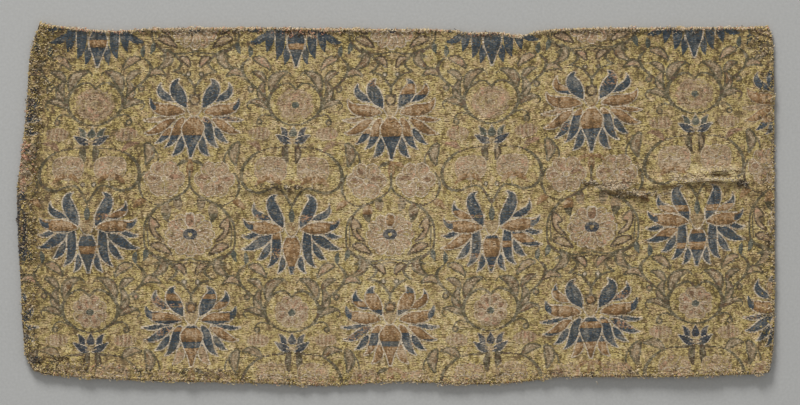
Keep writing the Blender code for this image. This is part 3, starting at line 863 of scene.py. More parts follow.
def frayed_at(x, y):
    """0..1 for places of the panel, chart units."""
    best = np.zeros(np.shape(x))
    for cx, cy, rx, ry, much in FRAYED:
        d = ((x - cx) / rx) ** 2 + ((y - cy) / ry) ** 2
        best = np.maximum(best, much * np.clip(1.55 - 0.85 * d, 0, 1))
    return best


FRAY = frayed_at(_px, _py)
COCKLE += soften(FRAY, 2) * (0.21 * clouds(MX.shape, 2.2, 1.6, 25) + 0.17 * clouds(MX.shape, 5, 3, 26))

# single crumples and hollows by the folds, chart units on the panel, y down:
#    x    y   rx   ry   height, mm
CRUMPLES = [
    (677, 183, 6.5, 2.4, 0.55), (692, 181, 5.0, 2.2, 0.60), (706, 181.5, 4.5, 2.4, 0.55), (709.5, 174, 2.4, 4.0, 0.65),
    (720, 169.5, 7.5, 2.0, 0.60), (717, 174.5, 6.0, 2.0, -0.45), (728, 181.5, 8.0, 2.0, 0.55), (734, 173.5, 5.0, 2.0, 0.50),
    (743.5, 181, 3.6, 2.4, -0.70), (699, 175, 4.0, 2.0, 0.30), (683, 176, 4.0, 1.8, 0.25), (665, 181, 4.0, 2.0, 0.35),
    (603, 188.5, 4.5, 2.2, 0.55), (613, 189, 5.0, 2.4, 0.60), (625, 190.5, 4.6, 2.2, 0.55), (640, 195, 5.0, 2.0, 0.50),
    (601.5, 197, 4.2, 3.6, -0.45), (613, 193.5, 6.0, 1.6, -0.40), (644, 200, 3.6, 2.6, -0.35), (630, 196.5, 4.0, 1.8, -0.30),
    (47, 353.5, 10, 2.4, 0.65), (32, 357, 4.0, 2.4, -0.45), (38, 363, 4.0, 2.8, -0.45), (44, 371, 4.0, 2.0, -0.30),
    (684, 186.5, 3.0, 1.6, 0.40), (697, 186.5, 2.6, 1.5, 0.35), (711, 185.8, 3.0, 1.6, 0.40), (723, 185.4, 2.6, 1.5, 0.35),
    (735, 185, 3.0, 1.5, 0.35), (690, 187.5, 2.2, 1.8, -0.25), (704, 187, 2.2, 1.8, -0.25), (717, 186.6, 2.2, 1.8, -0.25),
    (65, 355, 8.0, 2.0, 0.35), (36, 370, 3.0, 2.4, 0.35), (300, 184, 6.0, 2.2, 0.35), (282, 186.5, 7.0, 1.8, 0.35),
    (318, 183, 5.0, 1.8, 0.30), (758, 190, 6.0, 2.0, 0.40), (768, 195, 3.0, 2.6, -0.35),
]
for _cx, _cy, _rx, _ry, _high in CRUMPLES:
    COCKLE += 1.5 * _high * np.exp(-((_px - _cx) / _rx) ** 2 - ((_py - _cy) / _ry) ** 2)

# the coloured wefts lie over the ground, the brown satin fullest
RELIEF = (0.16 * soften(is_in(BLUE, BROWN, WHITE, NAVY, MIX, TEAL), 1.3)
          + 0.62 * soften(is_in(BROWN), 2.4) ** 1.4
          + 0.16 * soften(is_in(BLUE), 2.2) ** 1.4
          + 0.05 * soften(is_in(PINK, PALE, ROSE), 1.2))

INNER = np.clip(INSET, 0, None)


def ease(a):
    a = np.clip(a, 0, 1)
    return a * a * (3 - 2 * a)


# the turned-under strip shows most along the bottom; the old fold at the top
# stands up as a soft roll with a valley behind it
AT_TOP, AT_BOTTOM = ease((MY - 58) / 11.0), ease((-MY - 56) / 10.0)
WANDER = 0.9 * clouds(MX.shape, 16, 10, 27)
REACH = HEM_WIDTH + 0.3 + WANDER
RUN = 5.2 - 2.6 * AT_BOTTOM * ease((-MX + 20) / 60.0)
HEM = TURNED_UNDER * (0.95 - 0.30 * AT_TOP) * ease((REACH + 0.5 * RUN - INNER) / RUN)
HEM *= 1 - 0.35 * AT_BOTTOM * np.exp(-((MX + 14) / 62) ** 2)
HEM -= (0.80 - 0.42 * AT_BOTTOM) * np.clip(1 - INNER / (1.15 - 0.62 * AT_BOTTOM), 0, 1) ** 2
HEM += AT_TOP * (0.34 * np.exp(-((INNER - 0.7) / 0.75) ** 2) - 0.24 * np.exp(-((INNER - 2.9) / 1.3) ** 2))
HEM += 0.16 * np.exp(-((INNER - 1.2) / 1.0) ** 2) * (1 - AT_TOP) * (1 + clouds(MX.shape, 6, 6, 28))
FADE = np.clip(INNER / 4.0, 0, 1)
# the right half of the lower edge does not quite touch the table
RIDGE = RIDGE + 0.85 * ease((MX - 48) / 45) * ease((-MY - 58) / 15)
FACE_Z = CLOTH - 0.25 + HEM + RIDGE + (COCKLE * (0.50 + 0.50 * FADE) + 0.15) + RELIEF * (0.35 + 0.65 * FADE)
FACE_Z = np.maximum(FACE_Z, 0.85)
FACE = Raster(FACE_Z, GX[0], GY[0], GRID)
UNDER = Raster(np.maximum(0.0, RIDGE - 0.3), GX[0], GY[0], GRID)
INSET_R = Raster(INSET, GX[0], GY[0], GRID)

# ---------------------------------------------------------------- pieces from plain arrays


class Mesh:
    """Gathers points, faces and thread values, then makes one object."""

    def __init__(self):
        self.points, self.tris, self.values, self.count = [], [], {}, 0

    def add(self, points, tris, **values):
        points = np.asarray(points, np.float32).reshape(-1, 3)
        self.tris.append(np.asarray(tris, np.int64).reshape(-1, 3) + self.count)
        self.points.append(points)
        self.count += len(points)
        for name, value in values.items():
            self.values.setdefault(name, []).append(
                np.broadcast_to(np.asarray(value, np.float32), (len(points),)))

    def make(self, name, material, smooth=True, uv=None):
        points = np.concatenate(self.points) * MM
        tris = np.concatenate(self.tris).astype(np.int32)
        mesh = bpy.data.meshes.new(name)
        mesh.vertices.add(len(points))
        mesh.vertices.foreach_set("co", points.ravel())
        mesh.loops.add(len(tris) * 3)
        mesh.loops.foreach_set("vertex_index", tris.ravel())
        mesh.polygons.add(len(tris))
        mesh.polygons.foreach_set("loop_start", np.arange(0, len(tris) * 3, 3, dtype=np.int32))
        mesh.polygons.foreach_set("use_smooth", np.full(len(tris), smooth))
        mesh.update(calc_edges=True)
        for key, parts in self.values.items():
            attr = mesh.attributes.new(key, "FLOAT", "POINT")
            attr.data.foreach_set("value", np.concatenate(parts).astype(np.float32))
        layer = mesh.uv_layers.new(name="OFBake")
        if uv is None:
            low, high = points.min(0), points.max(0)
            flat = (points[:, :2] - low[:2]) / np.maximum(high[:2] - low[:2], 1e-9)
            uv = 0.004 + 0.992 * flat
        layer.data.foreach_set("uv", uv[tris.ravel()].astype(np.float32).ravel())
        mesh.validate(verbose=False)
        mesh.materials.append(material)
        obj = bpy.data.objects.new(name, mesh)
        bpy.context.scene.collection.objects.link(obj)
        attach(obj, "root")
        return obj


# ---------------------------------------------------------------- materials


def srgb(r, g, b):
    def lin(c):
        c /= 255.0
        return c / 12.92 if c <= 0.04045 else ((c + 0.055) / 1.055) ** 2.4
    return (lin(r), lin(g), lin(b), 1.0)


class Nodes:
    def __init__(self, name):
        self.mat = bpy.data.materials.new(name)
        self.mat.use_nodes = True
        self.tree = self.mat.node_tree
        self.shader = self.tree.nodes["Principled BSDF"]
        self.coords = self.tree.nodes.new("ShaderNodeTexCoord").outputs["Object"]

    def new(self, kind, **settings):
        node = self.tree.nodes.new(kind)
        for key, value in settings.items():
            setattr(node, key, value)
        return node

    def link(self, a, b):
        self.tree.links.new(a, b)

    def value(self, name):
        return self.new("ShaderNodeAttribute", attribute_name=name).outputs["Fac"]

    def math(self, op, a, b=None, clamp=False):
        node = self.new("ShaderNodeMath", operation=op, use_clamp=clamp)
        for i, item in enumerate((a, b)):
            if item is None:
                continue
            if isinstance(item, (int, float)):
                node.inputs[i].default_value = item
            else:
                self.link(item, node.inputs[i])
        return node.outputs[0]

    def ramp(self, fac, stops, how="LINEAR"):
        node = self.new("ShaderNodeValToRGB")
        node.color_ramp.interpolation = how
        el = node.color_ramp.elements
        while len(el) < len(stops):
            el.new(0.5)
        for e, (at, colour) in zip(el, stops):
            e.position = at
            e.color = colour
        self.link(fac, node.inputs["Fac"])
        return node.outputs["Color"]

    def mix(self, a, b, fac, blend="MIX"):
        node = self.new("ShaderNodeMix", data_type="RGBA", blend_type=blend)
        for sock, item in ((node.inputs[0], fac), (node.inputs[6], a), (node.inputs[7], b)):
            if isinstance(item, (int, float)):
                sock.default_value = item
            elif isinstance(item, tuple):
                sock.default_value = item
            else:
                self.link(item, sock)
        return node.outputs[2]

    def noise(self, scale, stretch=(1, 1, 1), detail=2.0, rough=0.55, shift=(0, 0, 0)):
        m = self.new("ShaderNodeMapping")
        m.inputs["Scale"].default_value = stretch
        m.inputs["Location"].default_value = shift
        self.link(self.coords, m.inputs["Vector"])
        n = self.new("ShaderNodeTexNoise")
        n.inputs["Scale"].default_value = scale
        n.inputs["Detail"].default_value = detail
        n.inputs["Roughness"].default_value = rough
        self.link(m.outputs[0], n.inputs["Vector"])
        return n.outputs["Fac"]

    def spread(self, fac, low, high, to_low=0.0, to_high=1.0):
        node = self.new("ShaderNodeMapRange", clamp=True)
        self.link(fac, node.inputs["Value"])
        for key, item in (("From Min", low), ("From Max", high), ("To Min", to_low), ("To Max", to_high)):
            node.inputs[key].default_value = item
        return node.outputs[0]

    def bump(self, height, strength, distance):
        node = self.new("ShaderNodeBump")
        node.inputs["Strength"].default_value = strength
        node.inputs["Distance"].default_value = distance
        self.link(height, node.inputs["Height"])
        self.link(node.outputs[0], self.shader.inputs["Normal"])


def gold_material():
    """Gilt strip wound on a straw silk core: bright, tarnished or bare."""
    n = Nodes("gold_thread")
    tone, hue, stain = n.value("tone"), n.value("hue"), n.value("stain")
    along = n.noise(2600, (0.4, 1.6, 1), 2.0, 0.6)
    tone = n.math("ADD", tone, n.math("MULTIPLY", n.math("SUBTRACT", along, 0.5), 0.25))
    # the field of darker and brighter stretches: tone patches, and painted highlight and painted shade at the folds,
    # the creases and the top roll
    tone = n.math("ADD", tone, n.math("MULTIPLY", stain, 0.30), True)
    base = n.ramp(tone, [(0.0, srgb(74, 60, 32)), (0.16, srgb(118, 98, 56)), (0.5, srgb(183, 161, 106)),
                         (0.78, srgb(208, 188, 136)), (1.0, srgb(226, 208, 164))])
    tints = n.ramp(hue, [(0.0, srgb(203, 182, 86)), (0.30, srgb(201, 177, 94)), (0.52, srgb(182, 169, 102)),
                         (0.70, srgb(204, 166, 108)), (0.86, srgb(204, 160, 124)), (1.0, srgb(186, 154, 124))])
    worn = n.spread(n.noise(46, (1, 1.3, 1), 5.0, 0.62), 0.38, 0.66)
    tinted = n.mix(base, tints, n.spread(tone, 0.05, 0.5, 0.20, 0.60))
    tinted = n.mix(tinted, base, 0.5, "MIX")
    bare = n.mix(tinted, srgb(184, 158, 122), n.math("MULTIPLY", worn, 0.22))
    n.link(bare, n.shader.inputs["Base Color"])
    n.link(n.spread(n.noise(900, (1, 2, 1), 2.0), 0.2, 0.8, 0.54, 0.74), n.shader.inputs["Roughness"])
    n.link(n.math("MULTIPLY", n.math("SUBTRACT", 1.0, worn), 0.12), n.shader.inputs["Metallic"])
    n.bump(n.noise(5200, (0.5, 1.2, 1), 2.0), 0.35, 0.00012)
    return n.mat


def silk_material(name, colours, spread=0.5, fleck=None, sheen=0.25, rough=0.62, worn_to=None, second=None,
                  often=0.86):
    """Dyed silk weft. colours: one for each value of the kind attribute."""
    n = Nodes(name)
    tone, hue, stain, kind = n.value("tone"), n.value("hue"), n.value("stain"), n.value("kind")
    step = 1.0 / len(colours)
    base = n.ramp(kind, [(i * step, c) for i, c in enumerate(colours)], "CONSTANT") if len(colours) > 1 else None
    if base is None:
        base = n.ramp(kind, [(0.0, colours[0]), (1.0, colours[0])])
    # lightness of each float from its tone, which carries random differences and the painted highlight and shade of the
    # satin, from the field of darker and brighter stretches, which carries tone patches and painted highlight and shade
    # at the folds, and from a fine noise
    light = n.math("MULTIPLY", n.math("SUBTRACT", tone, 0.5), spread)
    light = n.math("ADD", light, n.math("MULTIPLY", stain, 0.24))
    light = n.math("ADD", light, n.math("MULTIPLY", n.math("SUBTRACT", n.noise(2400, (1.5, 0.6, 1), 2.0), 0.5), 0.3))
    up = n.math("MAXIMUM", light, 0.0)
    down = n.math("MAXIMUM", n.math("MULTIPLY", light, -1.0), 0.0)
    c = n.mix(base, (0.88, 0.74, 0.54, 1), n.math("MULTIPLY", up, 0.55, True))
    c = n.mix(c, (0.02, 0.016, 0.012, 1), n.math("MULTIPLY", down, 1.1, True))
    if fleck is not None:
        c = n.mix(c, fleck, n.spread(hue, often, often + 0.10, 0.0, 0.75))
    if second is not None:
        c = n.mix(c, second, n.spread(hue, 0.16, 0.06, 0.0, 0.75))
    if worn_to is not None:
        c = n.mix(c, worn_to, n.spread(n.noise(70, (1, 1.4, 1), 5.0, 0.65), 0.52, 0.72, 0.0, 0.5))
    n.link(c, n.shader.inputs["Base Color"])
    n.link(n.spread(n.noise(1200, (1, 1, 1), 2.0), 0.2, 0.8, rough - 0.1, rough + 0.1), n.shader.inputs["Roughness"])
    n.shader.inputs["Sheen Weight"].default_value = sheen
    n.shader.inputs["Sheen Roughness"].default_value = 0.45
    n.shader.inputs["Specular IOR Level"].default_value = 0.35
    n.bump(n.noise(4200, (1.4, 0.6, 1), 2.0), 0.3, 0.0001)
    return n.mat


def cloth_material():
    """The ground weave under the floats, and its back."""
    n = Nodes("ground_weave")
    rows = n.noise(1500, (0.22, 1.0, 1), 2.0, 0.6)
    warps = n.noise(1700, (1.0, 0.15, 1), 2.0, 0.6, (0.3, 0.1, 0))
    mixed = n.math("ADD", n.math("MULTIPLY", rows, 0.65), n.math("MULTIPLY", warps, 0.35))
    base = n.ramp(mixed, [(0.3, srgb(68, 52, 27)), (0.47, srgb(108, 87, 49)), (0.6, srgb(142, 117, 70)),
                          (0.72, srgb(176, 152, 110))])
    patches = n.spread(n.noise(60, (1, 1.2, 1), 5.0, 0.6), 0.4, 0.65)
    base = n.mix(base, srgb(128, 98, 72), n.math("MULTIPLY", patches, 0.4))
    n.link(base, n.shader.inputs["Base Color"])
    n.link(n.spread(rows, 0.3, 0.7, 0.6, 0.85), n.shader.inputs["Roughness"])
    n.bump(mixed, 0.8, 0.00035)
    return n.mat


def loop_material():
    """Thread ends along the edges and worn places: straw, cream, gold, dark
    brown, navy and salmon, by kind."""
    n = Nodes("edge_thread")
    tone, hue, kind = n.value("tone"), n.value("hue"), n.value("kind")
    c = n.ramp(kind, [(0.0, srgb(196, 171, 120)), (1 / 6, srgb(214, 194, 160)), (2 / 6, srgb(206, 180, 100)),
                      (3 / 6, srgb(76, 59, 36)), (4 / 6, srgb(36, 40, 50)), (5 / 6, srgb(208, 146, 110))], "CONSTANT")
    c = n.mix(c, srgb(172, 132, 92), n.spread(hue, 0.70, 0.95, 0.0, 0.5))
    light = n.math("SUBTRACT", tone, 0.5)
    up = n.math("MAXIMUM", light, 0.0)
    down = n.math("MAXIMUM", n.math("MULTIPLY", light, -1.0), 0.0)
    c = n.mix(c, (0.86, 0.74, 0.56, 1), n.math("MULTIPLY", up, 0.8, True))
    c = n.mix(c, (0.035, 0.024, 0.012, 1), n.math("MULTIPLY", down, 1.5, True))
    n.link(c, n.shader.inputs["Base Color"])
    n.link(n.spread(n.noise(1500), 0.2, 0.8, 0.5, 0.72), n.shader.inputs["Roughness"])
    n.shader.inputs["Sheen Weight"].default_value = 0.15
    n.bump(n.noise(5000, (1, 1, 1), 2.0), 0.3, 0.0001)
    return n.mat


# ---------------------------------------------------------------- the cloth sheet


def cloth_sheet():
    """The closed sheet: face, rolled edge and turned-under strip as its outer
    skin, and the cloth's back as its inner skin."""
    step = 1.5
    roll = [(0.06, 0.62), (0.34, 0.22), (0.95, 0.0)]        # inset and height below the widest line
    strip = [2.3, 3.7, 5.1, 6.5]
    nu, nv = int(333 / step), int(155 / step)
    us = np.concatenate([[0.0, 0.7 / 333, 1.5 / 333], np.linspace(2.6 / 333, 1 - 2.6 / 333, nu - 4),
                         [1 - 1.5 / 333, 1 - 0.7 / 333, 1.0]])
    vs = np.concatenate([[0.0, 0.7 / 155, 1.5 / 155], np.linspace(2.6 / 155, 1 - 2.6 / 155, nv - 4),
                         [1 - 1.5 / 155, 1 - 0.7 / 155, 1.0]])
    wide = [r[0] for r in roll] + strip
    low = [r[1] for r in roll] + [0.0] * len(strip)
    m = len(wide)
    nu, nv = len(us), len(vs)
    NI, NJ = nu + 2 * m, nv + 2 * m
    outer = np.full((NJ, NI, 3), np.nan)
    inner = np.full((NJ, NI, 3), np.nan)

    plan = on_cloth(us[None, :], vs[:, None])
    top = FACE.at(plan[..., 0], plan[..., 1]) - 0.10
    outer[m:m + nv, m:m + nu] = np.dstack([plan, top])
    ins = INSET_R.at(plan[..., 0], plan[..., 1])
    under = np.maximum(UNDER.at(plan[..., 0], plan[..., 1]), 0.0)
    # over the turned-under strip the back of the face rests on it
    lift = 1.02 * np.clip((HEM_WIDTH + 1.0 - ins) / 1.6, 0, 1)
    back = np.minimum(np.maximum(under, lift), top - 0.25)
    pull = np.clip(1.0 - ins / 1.2, 0, 1)[..., None]
    middle = np.array([0.0, 0.0])
    towards = middle - plan
    towards /= np.linalg.norm(towards, axis=-1, keepdims=True)
    inner[m:m + nv, m:m + nu] = np.dstack([plan + towards * pull * 0.55, back])

    waver = np.random.default_rng(5)

    def flap(edge, shares, inward, length):
        """Rows of the strip under one edge, mitred at its ends."""
        rows_out, rows_in = [], []
        ragged = 1.0 + 0.10 * soften(waver.normal(size=(1, len(shares))), 3)[0] / 0.3
        for k, (w, z) in enumerate(zip(wide, low)):
            s = 0.5 + (shares - 0.5) * (1 - 2 * w / length)
            p = edge(s)
            reach = w * (ragged if k >= 3 else 1.0)
            q = p + inward * np.reshape(reach, (-1, 1))
            zz = z + (0.0 if k < 2 else 0.03)
            rows_out.append(np.column_stack([q, np.full(len(shares), zz)]))
            hz = {0: 0.95, 1: 0.98}.get(k, 0.98)
            back_in = np.maximum(reach, 0.7)
            q2 = p + inward * np.reshape(back_in, (-1, 1))
            rows_in.append(np.column_stack([q2, np.full(len(shares), hz)]))
        return rows_out, rows_in

    for edge, shares, inward, length, place in (
            (LEFT, vs, np.array([1.0, 0.0]), 155, lambda k: (slice(m, m + nv), m - 1 - k)),
            (RIGHT, vs, np.array([-1.0, 0.0]), 155, lambda k: (slice(m, m + nv), m + nu + k)),
            (BOTTOM, us, np.array([0.0, 1.0]), 325, lambda k: (m - 1 - k, slice(m, m + nu))),
            (TOP, us, np.array([0.0, -1.0]), 325, lambda k: (m + nv + k, slice(m, m + nu)))):
        rows_out, rows_in = flap(edge, shares, inward, length)
        for k in range(m):
            j, i = place(k)
            outer[j, i] = rows_out[k]
            inner[j, i] = rows_in[k]

    have = ~np.isnan(outer[..., 0])
    index = np.full((NJ, NI), -1)
    index[have] = np.arange(have.sum())
    total = int(have.sum())
    cell = have[:-1, :-1] & have[1:, :-1] & have[:-1, 1:] & have[1:, 1:]
    a, b = index[:-1, :-1][cell], index[:-1, 1:][cell]
    c, d = index[1:, 1:][cell], index[1:, :-1][cell]
    faces = [np.column_stack([a, b, c]), np.column_stack([a, c, d]),
             np.column_stack([a, c, b]) + total, np.column_stack([a, d, c]) + total]
    # close the raw edges: every side used by one cell only
    quads = np.stack([a, b, c, d], 1)
    sides = np.concatenate([quads[:, [0, 1]], quads[:, [1, 2]], quads[:, [2, 3]], quads[:, [3, 0]]])
    key = np.sort(sides, 1)
    _u, first, uses = np.unique(key[:, 0] * (total + 1) + key[:, 1], return_index=True, return_counts=True)
    rim = sides[first[uses == 1]]
    faces.append(np.column_stack([rim[:, 1], rim[:, 0], rim[:, 0] + total]))
    faces.append(np.column_stack([rim[:, 1], rim[:, 0] + total, rim[:, 1] + total]))
    jj, ii = np.nonzero(have)
    uv_out = np.column_stack([ii / (NI - 1), 0.505 + 0.495 * jj / (NJ - 1)])
    uv_in = np.column_stack([ii / (NI - 1), 0.495 * jj / (NJ - 1)])
    sheet = Mesh()
    sheet.add(np.vstack([outer[have], inner[have]]), np.concatenate(faces))
    obj = sheet.make("brocade_cloth", cloth_material(), True, np.vstack([uv_out, uv_in]))
    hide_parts("brocade_panel")
    return obj


# ---------------------------------------------------------------- the wefts

# stretches of the ground made darker or brighter than the rest: tone patches, and painted highlight on the crests of
# the folds and of the middle crease, with painted shade below them, in the fold hollows, along the crease at the lower
# left corner and in the valley behind the top roll:
#    x    y    rx   ry   change        (chart units on the panel, y down)
STAINS_AND_PAINTED_SHADING = [
    (90, 38, 46, 16, -0.9), (295, 38, 36, 12, -0.7), (492, 42, 36, 12, -0.7), (695, 36, 44, 12, -0.9),
    (45, 60, 18, 50, -0.6), (30, 160, 16, 70, -0.5), (38, 260, 14, 90, -0.4), (60, 48, 30, 18, -0.4),
    (75, 110, 60, 50, -0.25), (102, 236, 32, 20, -0.4), (160, 108, 60, 30, -0.3), (400, 190, 170, 60, 0.3),
    (400, 320, 150, 60, 0.2), (470, 345, 70, 30, 0.2), (695, 236, 40, 18, -0.4), (705, 58, 60, 22, -0.35),
    (588, 128, 44, 20, -0.3), (283, 177, 40, 5, 0.45), (282, 189, 26, 2.5, -0.7), (325, 137, 14, 7, 0.35),
    (704, 175, 30, 6, 0.7), (715, 169, 22, 3, 0.5), (612, 184, 30, 4, 0.5), (608, 194, 22, 4, -0.5),
    (700, 186, 34, 2.5, -0.6), (388, 322, 12, 5, 0.35), (490, 320, 16, 3, 0.3), (448, 340, 18, 6, 0.3),
    (65, 358, 36, 4, -0.5), (742, 183, 5, 3, -1.6), (764, 100, 10, 90, -0.25), (310, 33, 500, 3, -0.5),
    (35, 190, 12, 8, -0.4), (766, 300, 8, 60, -0.25), (430, 235, 95, 120, 0.32), (704, 176, 30, 9, 0.7),
    (742, 172, 22, 8, 0.6), (620, 58, 24, 20, -0.4), (22, 290, 8, 18, -0.5), (24.4, 236, 2.4, 26, -0.9),
    (300, 262, 50, 8, 0.2), (300, 332, 20, 10, 0.3), (620, 90, 24, 16, -0.3), (400, 258, 60, 10, 0.25),
    (200, 258, 30, 12, 0.3), (440, 368, 34, 6, -0.4), (716, 176, 6, 2.4, -1.0), (697, 186, 9, 2, -0.5),
    (330, 300, 130, 55, 0.22), (330, 235, 130, 45, 0.12), (460, 320, 30, 40, 0.15), (450, 123, 44, 16, 0.25),
    # this row and the next: painted highlight on the crest of the long fold
    (700, 172, 24, 9, 0.4), (690, 178, 18, 5, 1.8), (718, 168, 16, 3.5, 1.4), (724, 180.5, 14, 2.6, 1.8),
    (738, 173, 14, 5, 1.2),
]


def stain_at(x, y):
    out = np.zeros(np.shape(x))
    for cx, cy, rx, ry, change in STAINS_AND_PAINTED_SHADING:
        d = ((x - cx) / rx) ** 2 + ((y - cy) / ry) ** 2
        out += change * np.exp(-d)
    return out


# how a colour is woven: shortest and longest float, shift of the twill from
# weft to weft, spread of places and of height (units), lift over the ground
WEAVE = {
    GROUND: (0.85, 1.85, 0.70, 0.20, 0.075, 0.00),
    BLUE: (1.1, 2.1, 0.62, 0.08, 0.055, 0.06),
    NAVY: (1.1, 2.1, 0.62, 0.08, 0.055, 0.06),
    MIX: (1.0, 1.8, 0.50, 0.08, 0.055, 0.06),
    BROWN: (1.1, 1.9, 0.30, 0.07, 0.060, 0.10),
    TAN: (1.0, 1.9, 0.5, 0.09, 0.075, 0.06),
    WHITE: (1.0, 2.2, 0.6, 0.09, 0.060, 0.07),
    PALE: (1.0, 2.0, 0.6, 0.10, 0.070, 0.06),
    PINK: (1.0, 2.0, 0.7, 0.12, 0.075, 0.04),
    ROSE: (1.0, 2.0, 0.7, 0.12, 0.075, 0.04),
    LEAF: (1.1, 2.1, 0.6, 0.10, 0.070, 0.03),
    VINE: (1.1, 2.1, 0.6, 0.10, 0.060, 0.02),
    TEAL: (1.1, 2.1, 0.6, 0.09, 0.060, 0.04),
    DARK: (1.1, 2.1, 0.6, 0.10, 0.060, 0.00),
}


def all_floats():
    """Cuts each weft into floats: rows of (weft, start, stop, colour)."""
    g = np.random.default_rng(31)
    out = []
    for r in range(N_ROW):
        row = chart[r]
        cuts = np.flatnonzero(np.diff(row)) + 1
        starts = np.concatenate([[0], cuts])
        stops = np.concatenate([cuts, [N_COL]])
        for s, e in zip(starts, stops):
            code = int(row[s])
            x0, x1 = X_LOW + s * STEP, X_LOW + e * STEP
            short, long_, shift = WEAVE[code][:3]
            mean = 0.5 * (short + long_)
            loose = 0.5 * (long_ - short)
            if x1 - x0 <= long_:
                out.append((r, x0, x1, code))
                continue
            # the twill: breaks at even places that step along from weft to weft
            k = math.floor((x0 - r * shift) / mean) + 1
            at = x0
            while True:
                b = k * mean + r * shift
                b += g.uniform(-1, 1) * loose
                k += 1
                if b <= at + 0.5 * short:
                    continue
                if b >= x1 - 0.4 * short:
                    out.append((r, at, x1, code))
                    break
                out.append((r, at, b, code))
                at = b
    return np.array(out)


FLOATS = all_floats()
_g = np.random.default_rng(77)
_n = len(FLOATS)
F_ROW, F_X0, F_X1 = FLOATS[:, 0].astype(int), FLOATS[:, 1].copy(), FLOATS[:, 2].copy()
F_CODE = FLOATS[:, 3].astype(int)
# two silks woven together: which of them is up changes from float to float
F_CODE = np.where(F_CODE == MIX, np.where(_g.random(_n) < 0.45, ROSE, BLUE), F_CODE)
_spec = np.array([WEAVE[c] for c in range(14)])
# a weft wanders a little up and down on its way, so the gaps are uneven
_wave = soften(_g.normal(size=(N_ROW, 400)), 1.0, 0.0)
_wave /= _wave.std()
_at = (0.5 * (F_X0 + F_X1) - X_LOW) / (X_HIGH - X_LOW) * 398
_i = np.clip(_at.astype(int), 0, 398)
F_WAVE = _wave[F_ROW, _i] * (1 - (_at - _i)) + _wave[F_ROW, _i + 1] * (_at - _i)
F_RISE = (_wave[F_ROW, _i + 1] - _wave[F_ROW, _i]) / 2.0            # change of it for each unit along
F_Y = (ROW_Y[F_ROW] + _g.normal(size=_n) * _spec[F_CODE, 3]
       + F_WAVE * np.where(F_CODE == GROUND, 0.27, 0.10))
_over = np.where(F_CODE == GROUND, 0.06, np.where(np.isin(F_CODE, (BLUE, NAVY)), -0.05, 0.10))
F_X0 -= _over * _g.uniform(0.2, 1.0, _n)
F_X1 += _over * _g.uniform(0.2, 1.0, _n)

# where its two ends and middle lie on the cloth
_slope = np.where(F_CODE == GROUND, 0.05 + _g.normal(size=_n) * 0.15 + F_RISE * 0.22 * 0.5 * (F_X1 - F_X0),
                  _g.normal(size=_n) * 0.08)
_xs = np.stack([F_X0, 0.5 * (F_X0 + F_X1) + _g.uniform(-0.15, 0.15, _n), F_X1], 1)
_ys = np.stack([F_Y - _slope, F_Y, F_Y + _slope], 1)
_wx, _wy = warped(_xs, _ys)
F_PX, F_PY = (_wx - ORIGIN_X) * UNIT, (ORIGIN_Y - _wy) * UNIT       # millimetres
F_IN = INSET_R.at(F_PX, F_PY)
_keep = (F_IN.min(1) > 0.15) & (_g.random(_n) > np.where(F_CODE == GROUND, 0.012, 0.008))

# the direction across the weft, from the slope of the weft itself
_dx, _dy = F_PX[:, 2] - F_PX[:, 0], F_PY[:, 2] - F_PY[:, 0]
_len = np.maximum(np.hypot(_dx, _dy), 1e-6)
F_NX, F_NY = -_dy / _len, _dx / _len

# neighbours share part of their tone: small clumps, and slow clouds
_field = Raster(clouds(MX.shape, 0.70, 1.30, 41), GX[0], GY[0], GRID)
_slow = Raster(clouds(MX.shape, 14, 8, 42), GX[0], GY[0], GRID)
_ground = F_CODE == GROUND
_satin = np.isin(F_CODE, (BLUE, NAVY, BROWN))
F_TONE = (np.where(_ground, 0.13, np.where(_satin, 0.15, np.where(F_CODE == PINK, 0.17, 0.20))) * _g.normal(size=_n)
          + np.where(_ground, 0.225, np.where(_satin, 0.12, 0.18)) * _field.at(F_PX[:, 1], F_PY[:, 1])
          + 0.05 * _slow.at(F_PX[:, 1], F_PY[:, 1]))
# the gilt is even where it is whole, and its worn places are much darker
F_TONE = np.where(_ground, 0.55 + np.where(F_TONE > 0, 0.80, 1.25) * F_TONE, 0.5 + F_TONE)
F_TONE = np.where(_ground & (_g.random(_n) < 0.075), 0.05, F_TONE)
# the hue drifts in patches of a few floats
_dye = 0.55 * _g.normal(size=_n) + 0.83 * Raster(clouds(MX.shape, 1.5, 1.3, 44), GX[0], GY[0], GRID).at(F_PX[:, 1], F_PY[:, 1])
F_HUE = (np.argsort(np.argsort(_dye)) + 0.5) / _n
# for each float, the field of darker and brighter stretches: tone patches, with painted highlight and painted shade at
# the folds, creases and top roll
F_STAIN_AND_PAINTED_SHADING = stain_at(_wx[:, 1], _wy[:, 1])


def within_run(code):
    """For every cell of the chart, how far down its upright run of one colour
    it lies, 0 to 1, and how long the run is, in wefts."""
    hit = chart == code
    up = np.zeros(chart.shape, np.int32)
    down = np.zeros(chart.shape, np.int32)
    for r in range(N_ROW):
        up[r] = np.where(hit[r], (up[r - 1] if r else 0) + 1, 0)
    for r in range(N_ROW - 1, -1, -1):
        down[r] = np.where(hit[r], (down[r + 1] if r < N_ROW - 1 else 0) + 1, 0)
    total = np.maximum(up + down - 1, 1)
    return (up - 0.5) / total, total


